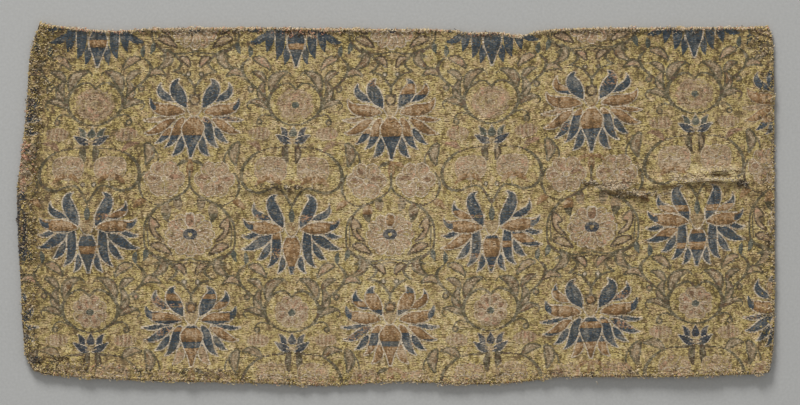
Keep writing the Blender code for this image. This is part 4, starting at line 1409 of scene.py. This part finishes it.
# painted highlight and painted shade on the satin: the floats of each petal are painted brightest a little above
# the middle of its upright run and darker at its upper and lower ends, as light from above falls on the
# pillowed satin; its warps show as fine upright lines
_cell = np.clip(((0.5 * (F_X0 + F_X1) - X_LOW) / STEP).astype(int), 0, N_COL - 1)
_warp_tone = soften(_g.normal(size=(1, N_COL)), 1.8, 0)[0]
_warp_tone /= _warp_tone.std()
_patch = Raster(clouds(MX.shape, 4, 2.4, 43), GX[0], GY[0], GRID).at(F_PX[:, 1], F_PY[:, 1])
for _code, _painted_light_share, _lines in ((BROWN, 0.32, 0.18), (BLUE, 0.12, 0.10), (NAVY, 0.10, 0.0)):
    _part, _long = within_run(_code)
    _h, _l = _part[F_ROW, _cell], _long[F_ROW, _cell]
    _painted_satin_light = np.interp(_h, (0.0, 0.12, 0.34, 0.6, 0.85, 1.0), (-0.7, 0.2, 1.0, 0.3, -0.5, -1.0)) * np.clip(_l / 9.0, 0.2, 1)
    _on = F_CODE == _code
    # the first term is the painted highlight and shade of the satin
    F_TONE += np.where(_on, _painted_light_share * _painted_satin_light + _lines * _warp_tone[_cell] + 0.09 * _patch, 0.0)
F_TONE = np.clip(F_TONE, 0.0, 1.0)

# stretches where the edge has been rubbed through to another thread, and others where threads are swapped to paint
# light and shade: gilt, pale and white threads on the fold crests as painted highlight, dark threads in a fold hollow
# and behind the top roll as painted shade:
#    x    y   rx   ry  colour share
RUBBED_AND_PAINTED_LIGHT = [
    (24.4, 237, 1.9, 24, NAVY, 0.95), (18.9, 226, 0.9, 34, NAVY, 0.9), (34, 103, 5.5, 4.0, NAVY, 0.95), (33, 90, 4.5, 3.0, NAVY, 0.6),
    (29, 116, 6, 2.4, NAVY, 0.8), (26, 151, 3.5, 3, NAVY, 0.8), (27, 122, 4, 2.6, WHITE, 0.7), (27, 145, 4, 3, PINK, 0.9),
    (28, 158, 4.5, 3, PINK, 0.9), (25, 173, 4, 3.4, PALE, 0.9), (33, 84, 6, 5, TAN, 0.5), (24, 252, 5, 8, NAVY, 0.8),
    (23, 196, 4, 5, NAVY, 0.8), (36, 360, 6, 4, NAVY, 0.7), (36, 372, 7, 2.5, DARK, 0.6),
    (301, 31, 15, 4.5, BROWN, 0.85), (316, 34, 5, 4, PALE, 0.6), (488, 33, 18, 3.2, BROWN, 0.8), (520, 33, 12, 2, WHITE, 0.7),
    (258, 26, 15, 2.2, PALE, 0.6), (95, 30, 32, 2.0, PINK, 0.55), (455, 30, 12, 2.0, TEAL, 0.5), (735, 26, 26, 1.6, PINK, 0.5),
    (640, 27, 100, 1.6, PALE, 0.45), (190, 29, 50, 1.6, PALE, 0.45), (350, 28, 60, 1.6, TAN, 0.45),
    (30, 62, 4, 26, DARK, 0.55), (37, 70, 3.5, 12, DARK, 0.6), (38, 112, 5, 30, DARK, 0.30),
    (26, 325, 3.5, 30, DARK, 0.45), (27, 344, 4, 5, NAVY, 0.7), (44, 372, 12, 4, DARK, 0.5),
    # the last entry of this row, dark threads in the hollow of the long fold: painted shade
    (774, 120, 2.5, 60, DARK, 0.35), (774, 300, 2.5, 50, DARK, 0.25), (742, 183, 5.5, 3.0, DARK, 0.9),
    # this row and the next two: gilt, pale and white threads on the fold crests, a painted highlight
    (690, 178, 20, 4.5, GROUND, 0.95), (720, 171, 22, 4.0, GROUND, 0.9), (724, 180, 16, 3.0, GROUND, 0.9),
    (690, 178, 18, 4.0, PALE, 0.32), (718, 169, 18, 3.0, PALE, 0.32), (722, 180, 14, 2.0, WHITE, 0.40),
    (612, 187, 16, 3, WHITE, 0.45), (636, 192, 9, 3, WHITE, 0.4), (688, 180, 18, 2.0, WHITE, 0.45), (590, 182, 8, 3, WHITE, 0.35), (640, 193, 34, 2, PALE, 0.35),
    # the three dark entries of this row along the top edge: painted shade behind the top roll
    (62, 30, 16, 3, DARK, 0.4), (300, 31, 60, 2, DARK, 0.35), (600, 31, 60, 2, DARK, 0.35),
    (305, 182, 16, 3.2, BROWN, 0.45), (27, 157, 3.5, 12, PALE, 0.35),
]
for _x, _y, _rx, _ry, _to, _share in RUBBED_AND_PAINTED_LIGHT:
    _d = ((_wx[:, 1] - _x) / _rx) ** 2 + ((_wy[:, 1] - _y) / _ry) ** 2
    _hit = (_g.random(_n) < _share * np.clip(1.8 - 1.2 * _d, 0, 1)) & (F_CODE != BLUE)
    F_CODE = np.where(_hit, _to, F_CODE)

# white outlines are broken here and there
_gone = (F_CODE == WHITE) & (_g.random(_n) < 0.08)
F_CODE = np.where(_gone, PINK, F_CODE)


def weave_piece(name, chosen, material, kind):
    """One piece: every chosen float as a bent strip of four triangles, or a flat strip of two where the float is short.
    """
    idx = np.flatnonzero(chosen & _keep)
    k = len(idx)
    g = np.random.default_rng(len(name) * 131 + k)
    px, py = F_PX[idx], F_PY[idx]
    z = FACE.at(px, py)
    code = F_CODE[idx]
    lift = _spec[code, 5]
    spread = _spec[code, 4]
    bow = np.where(code == GROUND, 0.10, 0.08)
    ride_up = lift + np.abs(g.normal(size=k)) * spread
    z[:, 0] += ride_up - bow + g.normal(size=k) * 0.02
    z[:, 1] += ride_up + 0.05
    z[:, 2] += ride_up - bow + g.normal(size=k) * 0.02
    half = 0.5 * PITCH * UNIT * np.where(code == GROUND, 1.22, 1.14) * (1 + 0.14 * g.normal(size=k))
    half = np.stack([half * 0.76, half * 1.05, half * 0.76], 1)
    roll = g.normal(size=k) * np.where(code == GROUND, 0.18, 0.16)       # tilt about its own length
    nx, ny = F_NX[idx][:, None], F_NY[idx][:, None]
    up = np.stack([px + nx * half, py + ny * half, z + half * roll[:, None]], -1)
    dn = np.stack([px - nx * half, py - ny * half, z - half * roll[:, None]], -1)
    m = Mesh()
    bent = (F_X1[idx] - F_X0[idx]) > 1.62
    for group, stations, tri in ((bent, (0, 1, 2), [[3, 4, 1], [3, 1, 0], [4, 5, 2], [4, 2, 1]]),
                                 (~bent, (0, 2), [[2, 3, 1], [2, 1, 0]])):
        if not group.any():
            continue
        u, d = up[group][:, stations], dn[group][:, stations]
        if len(stations) == 2:
            # raised to the height of a bent one's middle
            u[..., 2] += 0.10
            d[..., 2] += 0.10
        pts = np.concatenate([u, d], 1)
        per = pts.shape[1]
        base = np.arange(len(pts))[:, None, None] * per
        rep = lambda a: np.repeat(np.asarray(a, np.float32)[group], per)
        m.add(pts.reshape(-1, 3), (base + np.array(tri)[None]).reshape(-1, 3), tone=rep(F_TONE[idx]),
              hue=rep(F_HUE[idx]), stain=rep(F_STAIN_AND_PAINTED_SHADING[idx]), kind=rep(kind[idx]))
    return m.make(name, material)


cloth = cloth_sheet()
made = []
_third = np.digitize(F_PY[:, 1], (-26.0, 26.0))
gold = gold_material()
_none = np.zeros(_n)
for part, label in enumerate(("lower", "middle", "upper")):
    made.append(weave_piece("gold_wefts_" + label, (F_CODE == GROUND) & (_third == part), gold, _none))


def kinds(*codes):
    out = np.zeros(_n)
    for i, c in enumerate(codes):
        out[F_CODE == c] = (i + 0.5) / len(codes)
    return out


made.append(weave_piece("blue_wefts", np.isin(F_CODE, (BLUE, NAVY, TEAL)),
                        silk_material("blue_silk", [srgb(60, 74, 84), srgb(52, 61, 72), srgb(90, 95, 82)], 1.0,
                                      srgb(140, 130, 110), worn_to=srgb(92, 94, 90), second=srgb(84, 84, 76),
                                      often=0.90), kinds(BLUE, NAVY, TEAL)))
made.append(weave_piece("brown_wefts", np.isin(F_CODE, (BROWN, TAN, LEAF)),
                        silk_material("brown_silk", [srgb(155, 119, 76), srgb(184, 160, 116), srgb(154, 133, 101)], 1.15,
                                      srgb(204, 168, 126), second=srgb(124, 88, 52), often=0.90), kinds(BROWN, TAN, LEAF)))
made.append(weave_piece("white_wefts", np.isin(F_CODE, (WHITE, PALE)),
                        silk_material("white_silk", [srgb(206, 190, 166), srgb(194, 173, 143)], 0.85,
                                      srgb(176, 152, 116)), kinds(WHITE, PALE)))
made.append(weave_piece("rose_wefts", np.isin(F_CODE, (PINK, ROSE)),
                        silk_material("rose_silk", [srgb(176, 148, 113), srgb(150, 117, 87)], 1.0, srgb(198, 152, 122),
                                      second=srgb(172, 152, 98)), kinds(PINK, ROSE)))
made.append(weave_piece("olive_wefts", np.isin(F_CODE, (VINE, DARK)),
                        silk_material("olive_silk", [srgb(100, 92, 66), srgb(86, 71, 48)], 1.0,
                                      srgb(150, 132, 96), second=srgb(104, 80, 62)), kinds(VINE, DARK)))

# ---------------------------------------------------------------- threads along the edges


def tube(mesh, line, radius, sides=4, **values):
    """A thin round thread along a run of points, tapered at its ends."""
    line = np.asarray(line, float)
    n = len(line)
    d = np.gradient(line, axis=0)
    d /= np.maximum(np.linalg.norm(d, axis=1, keepdims=True), 1e-9)
    ref = np.where(np.abs(d[:, 2:3]) > 0.8, [[1.0, 0, 0]], [[0, 0, 1.0]])
    a = np.cross(d, ref)
    a /= np.maximum(np.linalg.norm(a, axis=1, keepdims=True), 1e-9)
    b = np.cross(a, d)
    rad = np.full(n, radius)
    rad[0] *= 0.5
    rad[-1] *= 0.35
    pts = []
    for k in range(sides):
        t = 2 * math.pi * (k + 0.5) / sides
        pts.append(line + (a * math.cos(t) + b * math.sin(t)) * rad[:, None])
    pts = np.stack(pts, 1).reshape(-1, 3)
    tris = []
    for i in range(n - 1):
        for k in range(sides):
            k2 = (k + 1) % sides
            p, q, r, s = i * sides + k, i * sides + k2, (i + 1) * sides + k2, (i + 1) * sides + k
            tris += [(p, r, q), (p, s, r)]
    for k in range(1, sides - 1):
        tris += [(0, k, k + 1), ((n - 1) * sides, (n - 1) * sides + k + 1, (n - 1) * sides + k)]
    mesh.add(pts, tris, **values)


STRAW, CREAM, GOLD, EARTH, INK, SALMON = [(i + 0.5) / 6 for i in range(6)]


def edge_threads():
    """The ends of wefts and warps that stand out of the folded edges, and the
    pulled loops of the frayed places."""
    g = np.random.default_rng(9)
    m = Mesh()

    def pick(shares):
        kinds_, weights = zip(*shares)
        return kinds_[int(g.choice(len(kinds_), p=np.array(weights) / sum(weights)))]

    clump = soften(g.normal(size=(1, 400)), 0, 0)[0]
    clump = np.convolve(g.normal(size=400), np.ones(5) / 5, "same") * 2.0
    spans = (
        ("top", TOP, 325.0, np.array([0.0, -1.0]), 0.42, ((CREAM, 5), (STRAW, 3), (SALMON, 1.6), (EARTH, 1.2), (GOLD, 1))),
        ("bottom", BOTTOM, 325.0, np.array([0.0, 1.0]), 0.50, ((GOLD, 4), (STRAW, 3), (CREAM, 2), (SALMON, 0.8), (EARTH, 1.4))),
        ("left", LEFT, 153.0, np.array([1.0, 0.0]), 0.55, ((EARTH, 4), (GOLD, 3), (STRAW, 1.5), (INK, 1.2), (CREAM, 0.6))),
        ("right", RIGHT, 151.0, np.array([-1.0, 0.0]), 0.50, ((GOLD, 4), (STRAW, 3), (EARTH, 2.2), (CREAM, 1.2))))
    for name, edge, length, inward, pitch, shares in spans:
        along = np.array([abs(inward[1]), abs(inward[0])])
        count = int(length / pitch)
        for i in range(count):
            s = (i + g.uniform(0.0, 1.0)) / count
            p = edge(s)
            thick = clump[int(s * 399)]
            slant = g.normal() * 0.7
            reach = g.uniform(0.5, 1.7)
            out = g.uniform(-0.25, 0.30) + 0.16 * thick
            tall = g.uniform(-0.1, 0.25) + 0.10 * thick
            q1, q2 = p + inward * reach + along * slant * 0.5, p + inward * 0.75 + along * slant * 0.3
            line = [
                (*q1, float(FACE.at(*q1)) - 0.05),
                (*q2, float(FACE.at(*q2)) + 0.14 + tall),
                (*(p + inward * 0.15 - along * slant * 0.1), float(FACE.at(*(p + inward * 0.5))) + 0.05 + tall),
                (*(p - inward * out - along * slant * 0.3), 0.8),
                (*(p + inward * 0.2 - along * slant * 0.5), 0.15),
            ]
            kind = pick(shares)
            x, y = p[0] / UNIT + ORIGIN_X, ORIGIN_Y - p[1] / UNIT
            if name == "left" and 196 < y < 262:
                kind = pick(((INK, 6), (EARTH, 2), (GOLD, 1)))
            if name == "left" and 143 < y < 178 and g.random() < 0.6:
                kind = pick(((SALMON, 3), (CREAM, 2)))
            tube(m, line, g.uniform(0.13, 0.23), 3, tone=float(np.clip(g.normal(0.55, 0.2), 0, 1)), hue=g.random(), kind=kind)

    # pulled loops of the frayed places
    def loop(px, py, kind, size=1.0):
        x, y = (px - ORIGIN_X) * UNIT, (ORIGIN_Y - py) * UNIT
        if float(INSET_R.at(x, y)) < 0.35:
            return
        a = g.normal() * 0.7 + (math.pi if g.random() < 0.5 else 0.0)
        step = np.array([math.cos(a), math.sin(a)]) * g.uniform(0.5, 1.2) * size
        bend = np.array([-step[1], step[0]]) * g.normal() * 0.35
        p0 = np.array([x, y])
        p1, p2, p3 = p0 + 0.33 * step + bend, p0 + 0.7 * step + bend, p0 + step
        high = g.uniform(0.25, 0.60) * size
        line = [(*p0, float(FACE.at(*p0)) + 0.02), (*p1, float(FACE.at(*p1)) + high),
                (*p2, float(FACE.at(*p2)) + high * 0.9), (*p3, float(FACE.at(*p3)) - 0.02)]
        tube(m, line, g.uniform(0.12, 0.22) * (0.6 + 0.4 * size), 3, tone=float(np.clip(g.normal(0.52, 0.31), 0, 1)),
             hue=g.random(), kind=kind)

    gilt = ((GOLD, 5), (STRAW, 2), (EARTH, 3), (CREAM, 0.8))
    #        x    y   rx   ry  loops  colours
    groups = [
        (39, 44, 13, 18, 160, gilt), (52, 54, 25, 11, 100, gilt), (40, 70, 14, 30, 150, gilt), (34, 125, 8, 40, 170, gilt),
        (28, 165, 10, 22, 90, ((SALMON, 2), (CREAM, 1.5), (EARTH, 2), (GOLD, 2))),
        (30, 200, 9, 26, 110, gilt), (32, 262, 8, 44, 170, gilt), (30, 320, 8, 40, 160, gilt),
        (55, 366, 32, 10, 250, gilt), (110, 371, 40, 7, 150, ((GOLD, 3), (CREAM, 2), (SALMON, 1), (EARTH, 2))),
        (190, 374, 60, 6, 220, gilt), (300, 379, 70, 4, 150, ((GOLD, 3), (CREAM, 2), (SALMON, 1), (EARTH, 1.5))),
        (430, 380, 80, 4, 150, ((GOLD, 3), (CREAM, 2), (SALMON, 1.2), (EARTH, 1.5))),
        (560, 375, 70, 5, 140, gilt), (690, 372, 80, 4, 150, ((GOLD, 3), (CREAM, 3), (EARTH, 1.5))),
        (766, 120, 6, 80, 190, gilt), (767, 290, 6, 80, 190, gilt), (758, 42, 13, 12, 130, gilt),
        (320, 31, 120, 3, 120, ((CREAM, 2), (SALMON, 1.5), (EARTH, 3))), (600, 31, 130, 3, 120, ((CREAM, 2), (STRAW, 1.5), (EARTH, 3))),
        (180, 32, 60, 3, 70, ((CREAM, 2), (SALMON, 1), (EARTH, 3))),
        (705, 177, 38, 5, 60, ((CREAM, 3), (STRAW, 3), (GOLD, 2), (EARTH, 1.5))), (720, 169, 24, 3, 20, ((CREAM, 3), (STRAW, 2))),
        (612, 185, 30, 5, 120, ((CREAM, 3), (STRAW, 2), (EARTH, 2))), (742, 184, 8, 4, 40, ((EARTH, 4), (CREAM, 1))),
        (640, 194, 30, 3, 60, ((CREAM, 2), (EARTH, 2))), (280, 187, 26, 3, 60, ((EARTH, 3), (STRAW, 1))),
    ]
    groups += [
        (27, 146, 3.6, 2.6, 34, ((SALMON, 7), (CREAM, 1))), (27.5, 157, 3.8, 2.8, 36, ((SALMON, 7), (EARTH, 1))),
        (25.5, 173, 2.8, 2.8, 26, ((CREAM, 5), (STRAW, 1))), (31.5, 103, 4.2, 3.8, 46, ((INK, 6), (EARTH, 1))),
        (31, 116, 5.0, 1.8, 26, ((INK, 5), (CREAM, 1))), (30, 128, 3.6, 2.4, 26, ((CREAM, 3), (INK, 3))),
        (36, 360, 5.0, 3.0, 28, ((INK, 3), (EARTH, 3))), (24.4, 237, 1.6, 24, 60, ((INK, 5), (EARTH, 2))),
        (19.4, 226, 0.8, 34, 60, ((INK, 5), (EARTH, 1))), (21.4, 236, 1.2, 26, 50, ((GOLD, 4), (STRAW, 2))),
        (32, 236, 5.0, 34, 120, ((GOLD, 6), (STRAW, 3), (EARTH, 2))), (46, 32, 10, 6, 90, ((GOLD, 5), (EARTH, 4), (CREAM, 1))),
        (33, 345, 6, 12, 70, ((GOLD, 5), (EARTH, 3))), (312, 36, 5, 2.4, 26, ((CREAM, 5), (SALMON, 1))),
        (300, 33, 14, 2.5, 60, ((SALMON, 2), (EARTH, 4))), (485, 34, 15, 2.2, 50, ((SALMON, 3), (EARTH, 3))),
        (512, 33, 14, 1.8, 46, ((CREAM, 7), (STRAW, 1))), (690, 178, 16, 3.0, 24, ((CREAM, 4), (STRAW, 4), (GOLD, 2))),
        (718, 169, 14, 3.0, 20, ((CREAM, 4), (STRAW, 4), (GOLD, 1))), (742, 182, 5, 2.0, 14, ((EARTH, 5), (INK, 1))),
        (614, 189, 8, 2.0, 34, ((CREAM, 5), (STRAW, 2))), (636, 193, 8, 2.2, 34, ((CREAM, 5), (STRAW, 2))),
    ]
    for cx, cy, rx, ry, many, shares in groups:
        for _k in range(many):
            r, a = math.sqrt(g.random()), g.uniform(0, 2 * math.pi)
            loop(cx + rx * r * math.cos(a), cy + ry * r * math.sin(a), pick(shares), g.uniform(0.75, 1.45))

    # the ragged fringe: short threads in tufts, lying along the fold or out over it
    m2 = Mesh()

    def fringe(edge, length, inward, many, shares, reach, seed, drop=(0.2, 0.8)):
        h = np.random.default_rng(seed)
        along = np.array([abs(inward[1]), abs(inward[0])])
        bins = int(length / 1.3)
        weight = np.exp(0.9 * np.convolve(h.normal(size=bins + 2), [0.5, 0.8, 0.5], "valid"))
        weight /= weight.sum()
        lean = np.convolve(h.normal(size=bins + 2), [0.5, 0.8, 0.5], "valid")
        for i in h.choice(bins, size=many, p=weight):
            s = float(np.clip((i + h.uniform(-0.1, 1.1)) / bins, 0.002, 0.998))
            p = edge(s)
            x = p[0] / UNIT + ORIGIN_X
            y = ORIGIN_Y - p[1] / UNIT
            part = shares
            for low, high, other in patches:
                if (low <= x < high and abs(inward[1]) and inward[1] < 0) or (not abs(inward[1]) and inward[0] > 0
                                                                              and low <= y - 1000 < high):
                    part = other
            kind = pick_of(part, h)
            out = -1.0 + (reach + 1.25) * h.random() ** 1.2 + 0.22 * lean[i]
            run = h.uniform(0.4, 1.3) * (1 if h.random() < 0.5 else -1)
            a = p - inward * (out - h.uniform(0.3, 0.9)) + along * (h.uniform(-0.2, 0.2) - 0.5 * run)
            c = p - inward * out + along * 0.5 * run
            b = 0.5 * (a + c) - inward * h.uniform(0.0, 0.3)
            base = float(FACE.at(*(p + inward * 1.0)))
            inside_a, inside_c = float(INSET_R.at(*a)), float(INSET_R.at(*c))
            za = float(FACE.at(*a)) + 0.02 if inside_a > 0.2 else base - 0.35
            zc = float(FACE.at(*c)) + 0.05 if inside_c > 0.3 else base - h.uniform(*drop)
            zb = max(za, zc) + h.uniform(0.10, 0.38)
            tube(m2, [(*a, za), (*(0.5 * (a + b)), 0.5 * (za + zb) + 0.06), (*b, zb), (*c, max(zc, 0.2))], h.uniform(0.12, 0.21), 3,
                 tone=float(np.clip(h.normal(0.60, 0.22), 0, 1)), hue=h.random(), kind=kind)

    def pick_of(shares, h):
        kinds_, weights = zip(*shares)
        return kinds_[int(h.choice(len(kinds_), p=np.array(weights) / sum(weights)))]

    pale, rust = ((CREAM, 6), (STRAW, 2), (EARTH, 0.6)), ((SALMON, 4), (EARTH, 2.5), (CREAM, 2))
    patches = [
        (36, 66, ((GOLD, 5), (EARTH, 3), (CREAM, 1))), (66, 76, pale), (76, 128, ((CREAM, 4), (SALMON, 3), (EARTH, 1))),
        (250, 280, ((CREAM, 5), (INK, 1), (STRAW, 2))), (284, 318, rust), (440, 468, ((CREAM, 3), (INK, 2), (STRAW, 2))),
        (468, 500, rust), (500, 532, ((CREAM, 8), (STRAW, 1))), (532, 600, ((STRAW, 4), (GOLD, 3), (EARTH, 1))),
        (700, 750, ((CREAM, 4), (SALMON, 3), (EARTH, 1))), (750, 775, ((GOLD, 5), (EARTH, 2.5), (STRAW, 2))),
        (-900, -882, ((SALMON, 3), (CREAM, 2))), (-858, -835, ((SALMON, 4), (CREAM, 1.5), (INK, 1))),
        (-835, -820, ((CREAM, 4), (SALMON, 1))), (-900 + 0, -895, pale), (-805, -738, ((INK, 7), (EARTH, 1))),
    ]
    fringe(TOP, 325.0, np.array([0.0, -1.0]), 1150, ((CREAM, 4), (STRAW, 4), (SALMON, 1.2), (EARTH, 1.2)), 0.42, 51)
    fringe(BOTTOM, 325.0, np.array([0.0, 1.0]), 1250, ((GOLD, 4), (STRAW, 5), (CREAM, 4), (SALMON, 0.6), (EARTH, 1.2)), 0.62, 52, (0.0, 0.3))
    fringe(LEFT, 153.0, np.array([1.0, 0.0]), 420, ((GOLD, 3), (EARTH, 3), (STRAW, 2), (CREAM, 1)), 0.30, 53)
    fringe(RIGHT, 151.0, np.array([-1.0, 0.0]), 420, ((GOLD, 3), (STRAW, 3), (CREAM, 2.4), (EARTH, 2)), 0.26, 54)

    # a few long loose ends
    for px, py, angle, length in ((312, 381, -0.5, 3.6), (322, 381.5, -2.5, 3.0), (500, 382, -0.4, 4.0), (498, 381, -2.7, 2.4),
                                  (47, 29, 2.3, 2.4), (596, 381, -1.0, 2.0), (150, 30, 1.9, 1.6), (40, 352, -2.9, 2.0),
                                  (766, 29, 0.9, 1.5), (768, 30, 0.6, 1.4), (769, 32, 0.4, 1.4), (764, 28.5, 1.3, 1.3),
                                  (771, 35, 0.2, 1.2), (762, 28, 1.6, 1.2), (767, 31, 1.0, 1.6), (770, 33, 0.7, 1.3)):
        x, y = (px - ORIGIN_X) * UNIT, (ORIGIN_Y - py) * UNIT
        d = np.array([math.cos(angle), math.sin(angle)])
        z0 = float(FACE.at(x, y))
        line = [(x, y, z0), (*(np.array([x, y]) + d * length * 0.3), z0 + 0.3),
                (*(np.array([x, y]) + d * length * 0.7), 0.9), (*(np.array([x, y]) + d * length), 0.25)]
        tube(m, line, 0.13, 3, tone=0.8, hue=0.3, kind=CREAM)
    thread = loop_material()
    return [m.make("edge_threads", thread), m2.make("edge_fringe", thread)]


made += edge_threads()

# ---------------------------------------------------------------- floor, light, camera


def floor_material():
    n = Nodes("pale_floor")
    n.link(n.ramp(n.noise(900, (1, 1, 1), 3.0, 0.6), [(0.3, srgb(172, 172, 170)), (0.7, srgb(180, 180, 178))]),
           n.shader.inputs["Base Color"])
    n.shader.inputs["Roughness"].default_value = 0.9
    n.shader.inputs["Specular IOR Level"].default_value = 0.1
    return n.mat


def floor():
    mesh = bpy.data.meshes.new("floor")
    s = 3.0
    mesh.from_pydata([(-s, -s, -0.0001), (s, -s, -0.0001), (s, s, -0.0001), (-s, s, -0.0001)], [], [(0, 1, 2, 3)])
    mesh.materials.append(floor_material())
    obj = bpy.data.objects.new("floor", mesh)
    bpy.context.scene.collection.objects.link(obj)


def lights():
    def area(name, place, aim, size, power):
        data = bpy.data.lights.new(name, "AREA")
        data.shape = "DISK"
        data.size = size
        data.energy = power
        obj = bpy.data.objects.new(name, data)
        bpy.context.scene.collection.objects.link(obj)
        d = np.array(aim) - np.array(place)
        from mathutils import Vector
        obj.rotation_euler = Vector(d).to_track_quat("-Z", "Y").to_euler()
        obj.location = place

    area("key", (-0.60, 2.27, 1.12), (0, 0, 0), 0.92, 67.0)
    world = bpy.data.worlds.new("studio")
    bpy.context.scene.world = world
    world.use_nodes = True
    bg = world.node_tree.nodes["Background"]
    bg.inputs["Color"].default_value = (1.0, 1.0, 0.99, 1.0)
    bg.inputs["Strength"].default_value = 0.47


def camera():
    data = bpy.data.cameras.new("camera")
    data.sensor_width = 36.0
    data.lens = 135.0
    data.clip_start, data.clip_end = 0.05, 20.0
    obj = bpy.data.objects.new("camera", data)
    bpy.context.scene.collection.objects.link(obj)
    obj.location = (0.00178, 0.00079, 0.352 * 135.0 / 36.0 + 0.0016)
    obj.rotation_euler = (0.0, 0.0, 0.0)
    bpy.context.scene.camera = obj


floor()
lights()
camera()
bpy.context.scene.view_settings.view_transform = "Standard"
bpy.context.scene.view_settings.look = "None"

print("triangles", {o.name: len(o.data.polygons) for o in [cloth] + made},
      sum(len(o.data.polygons) for o in [cloth] + made))
bpy.context.view_layer.update()
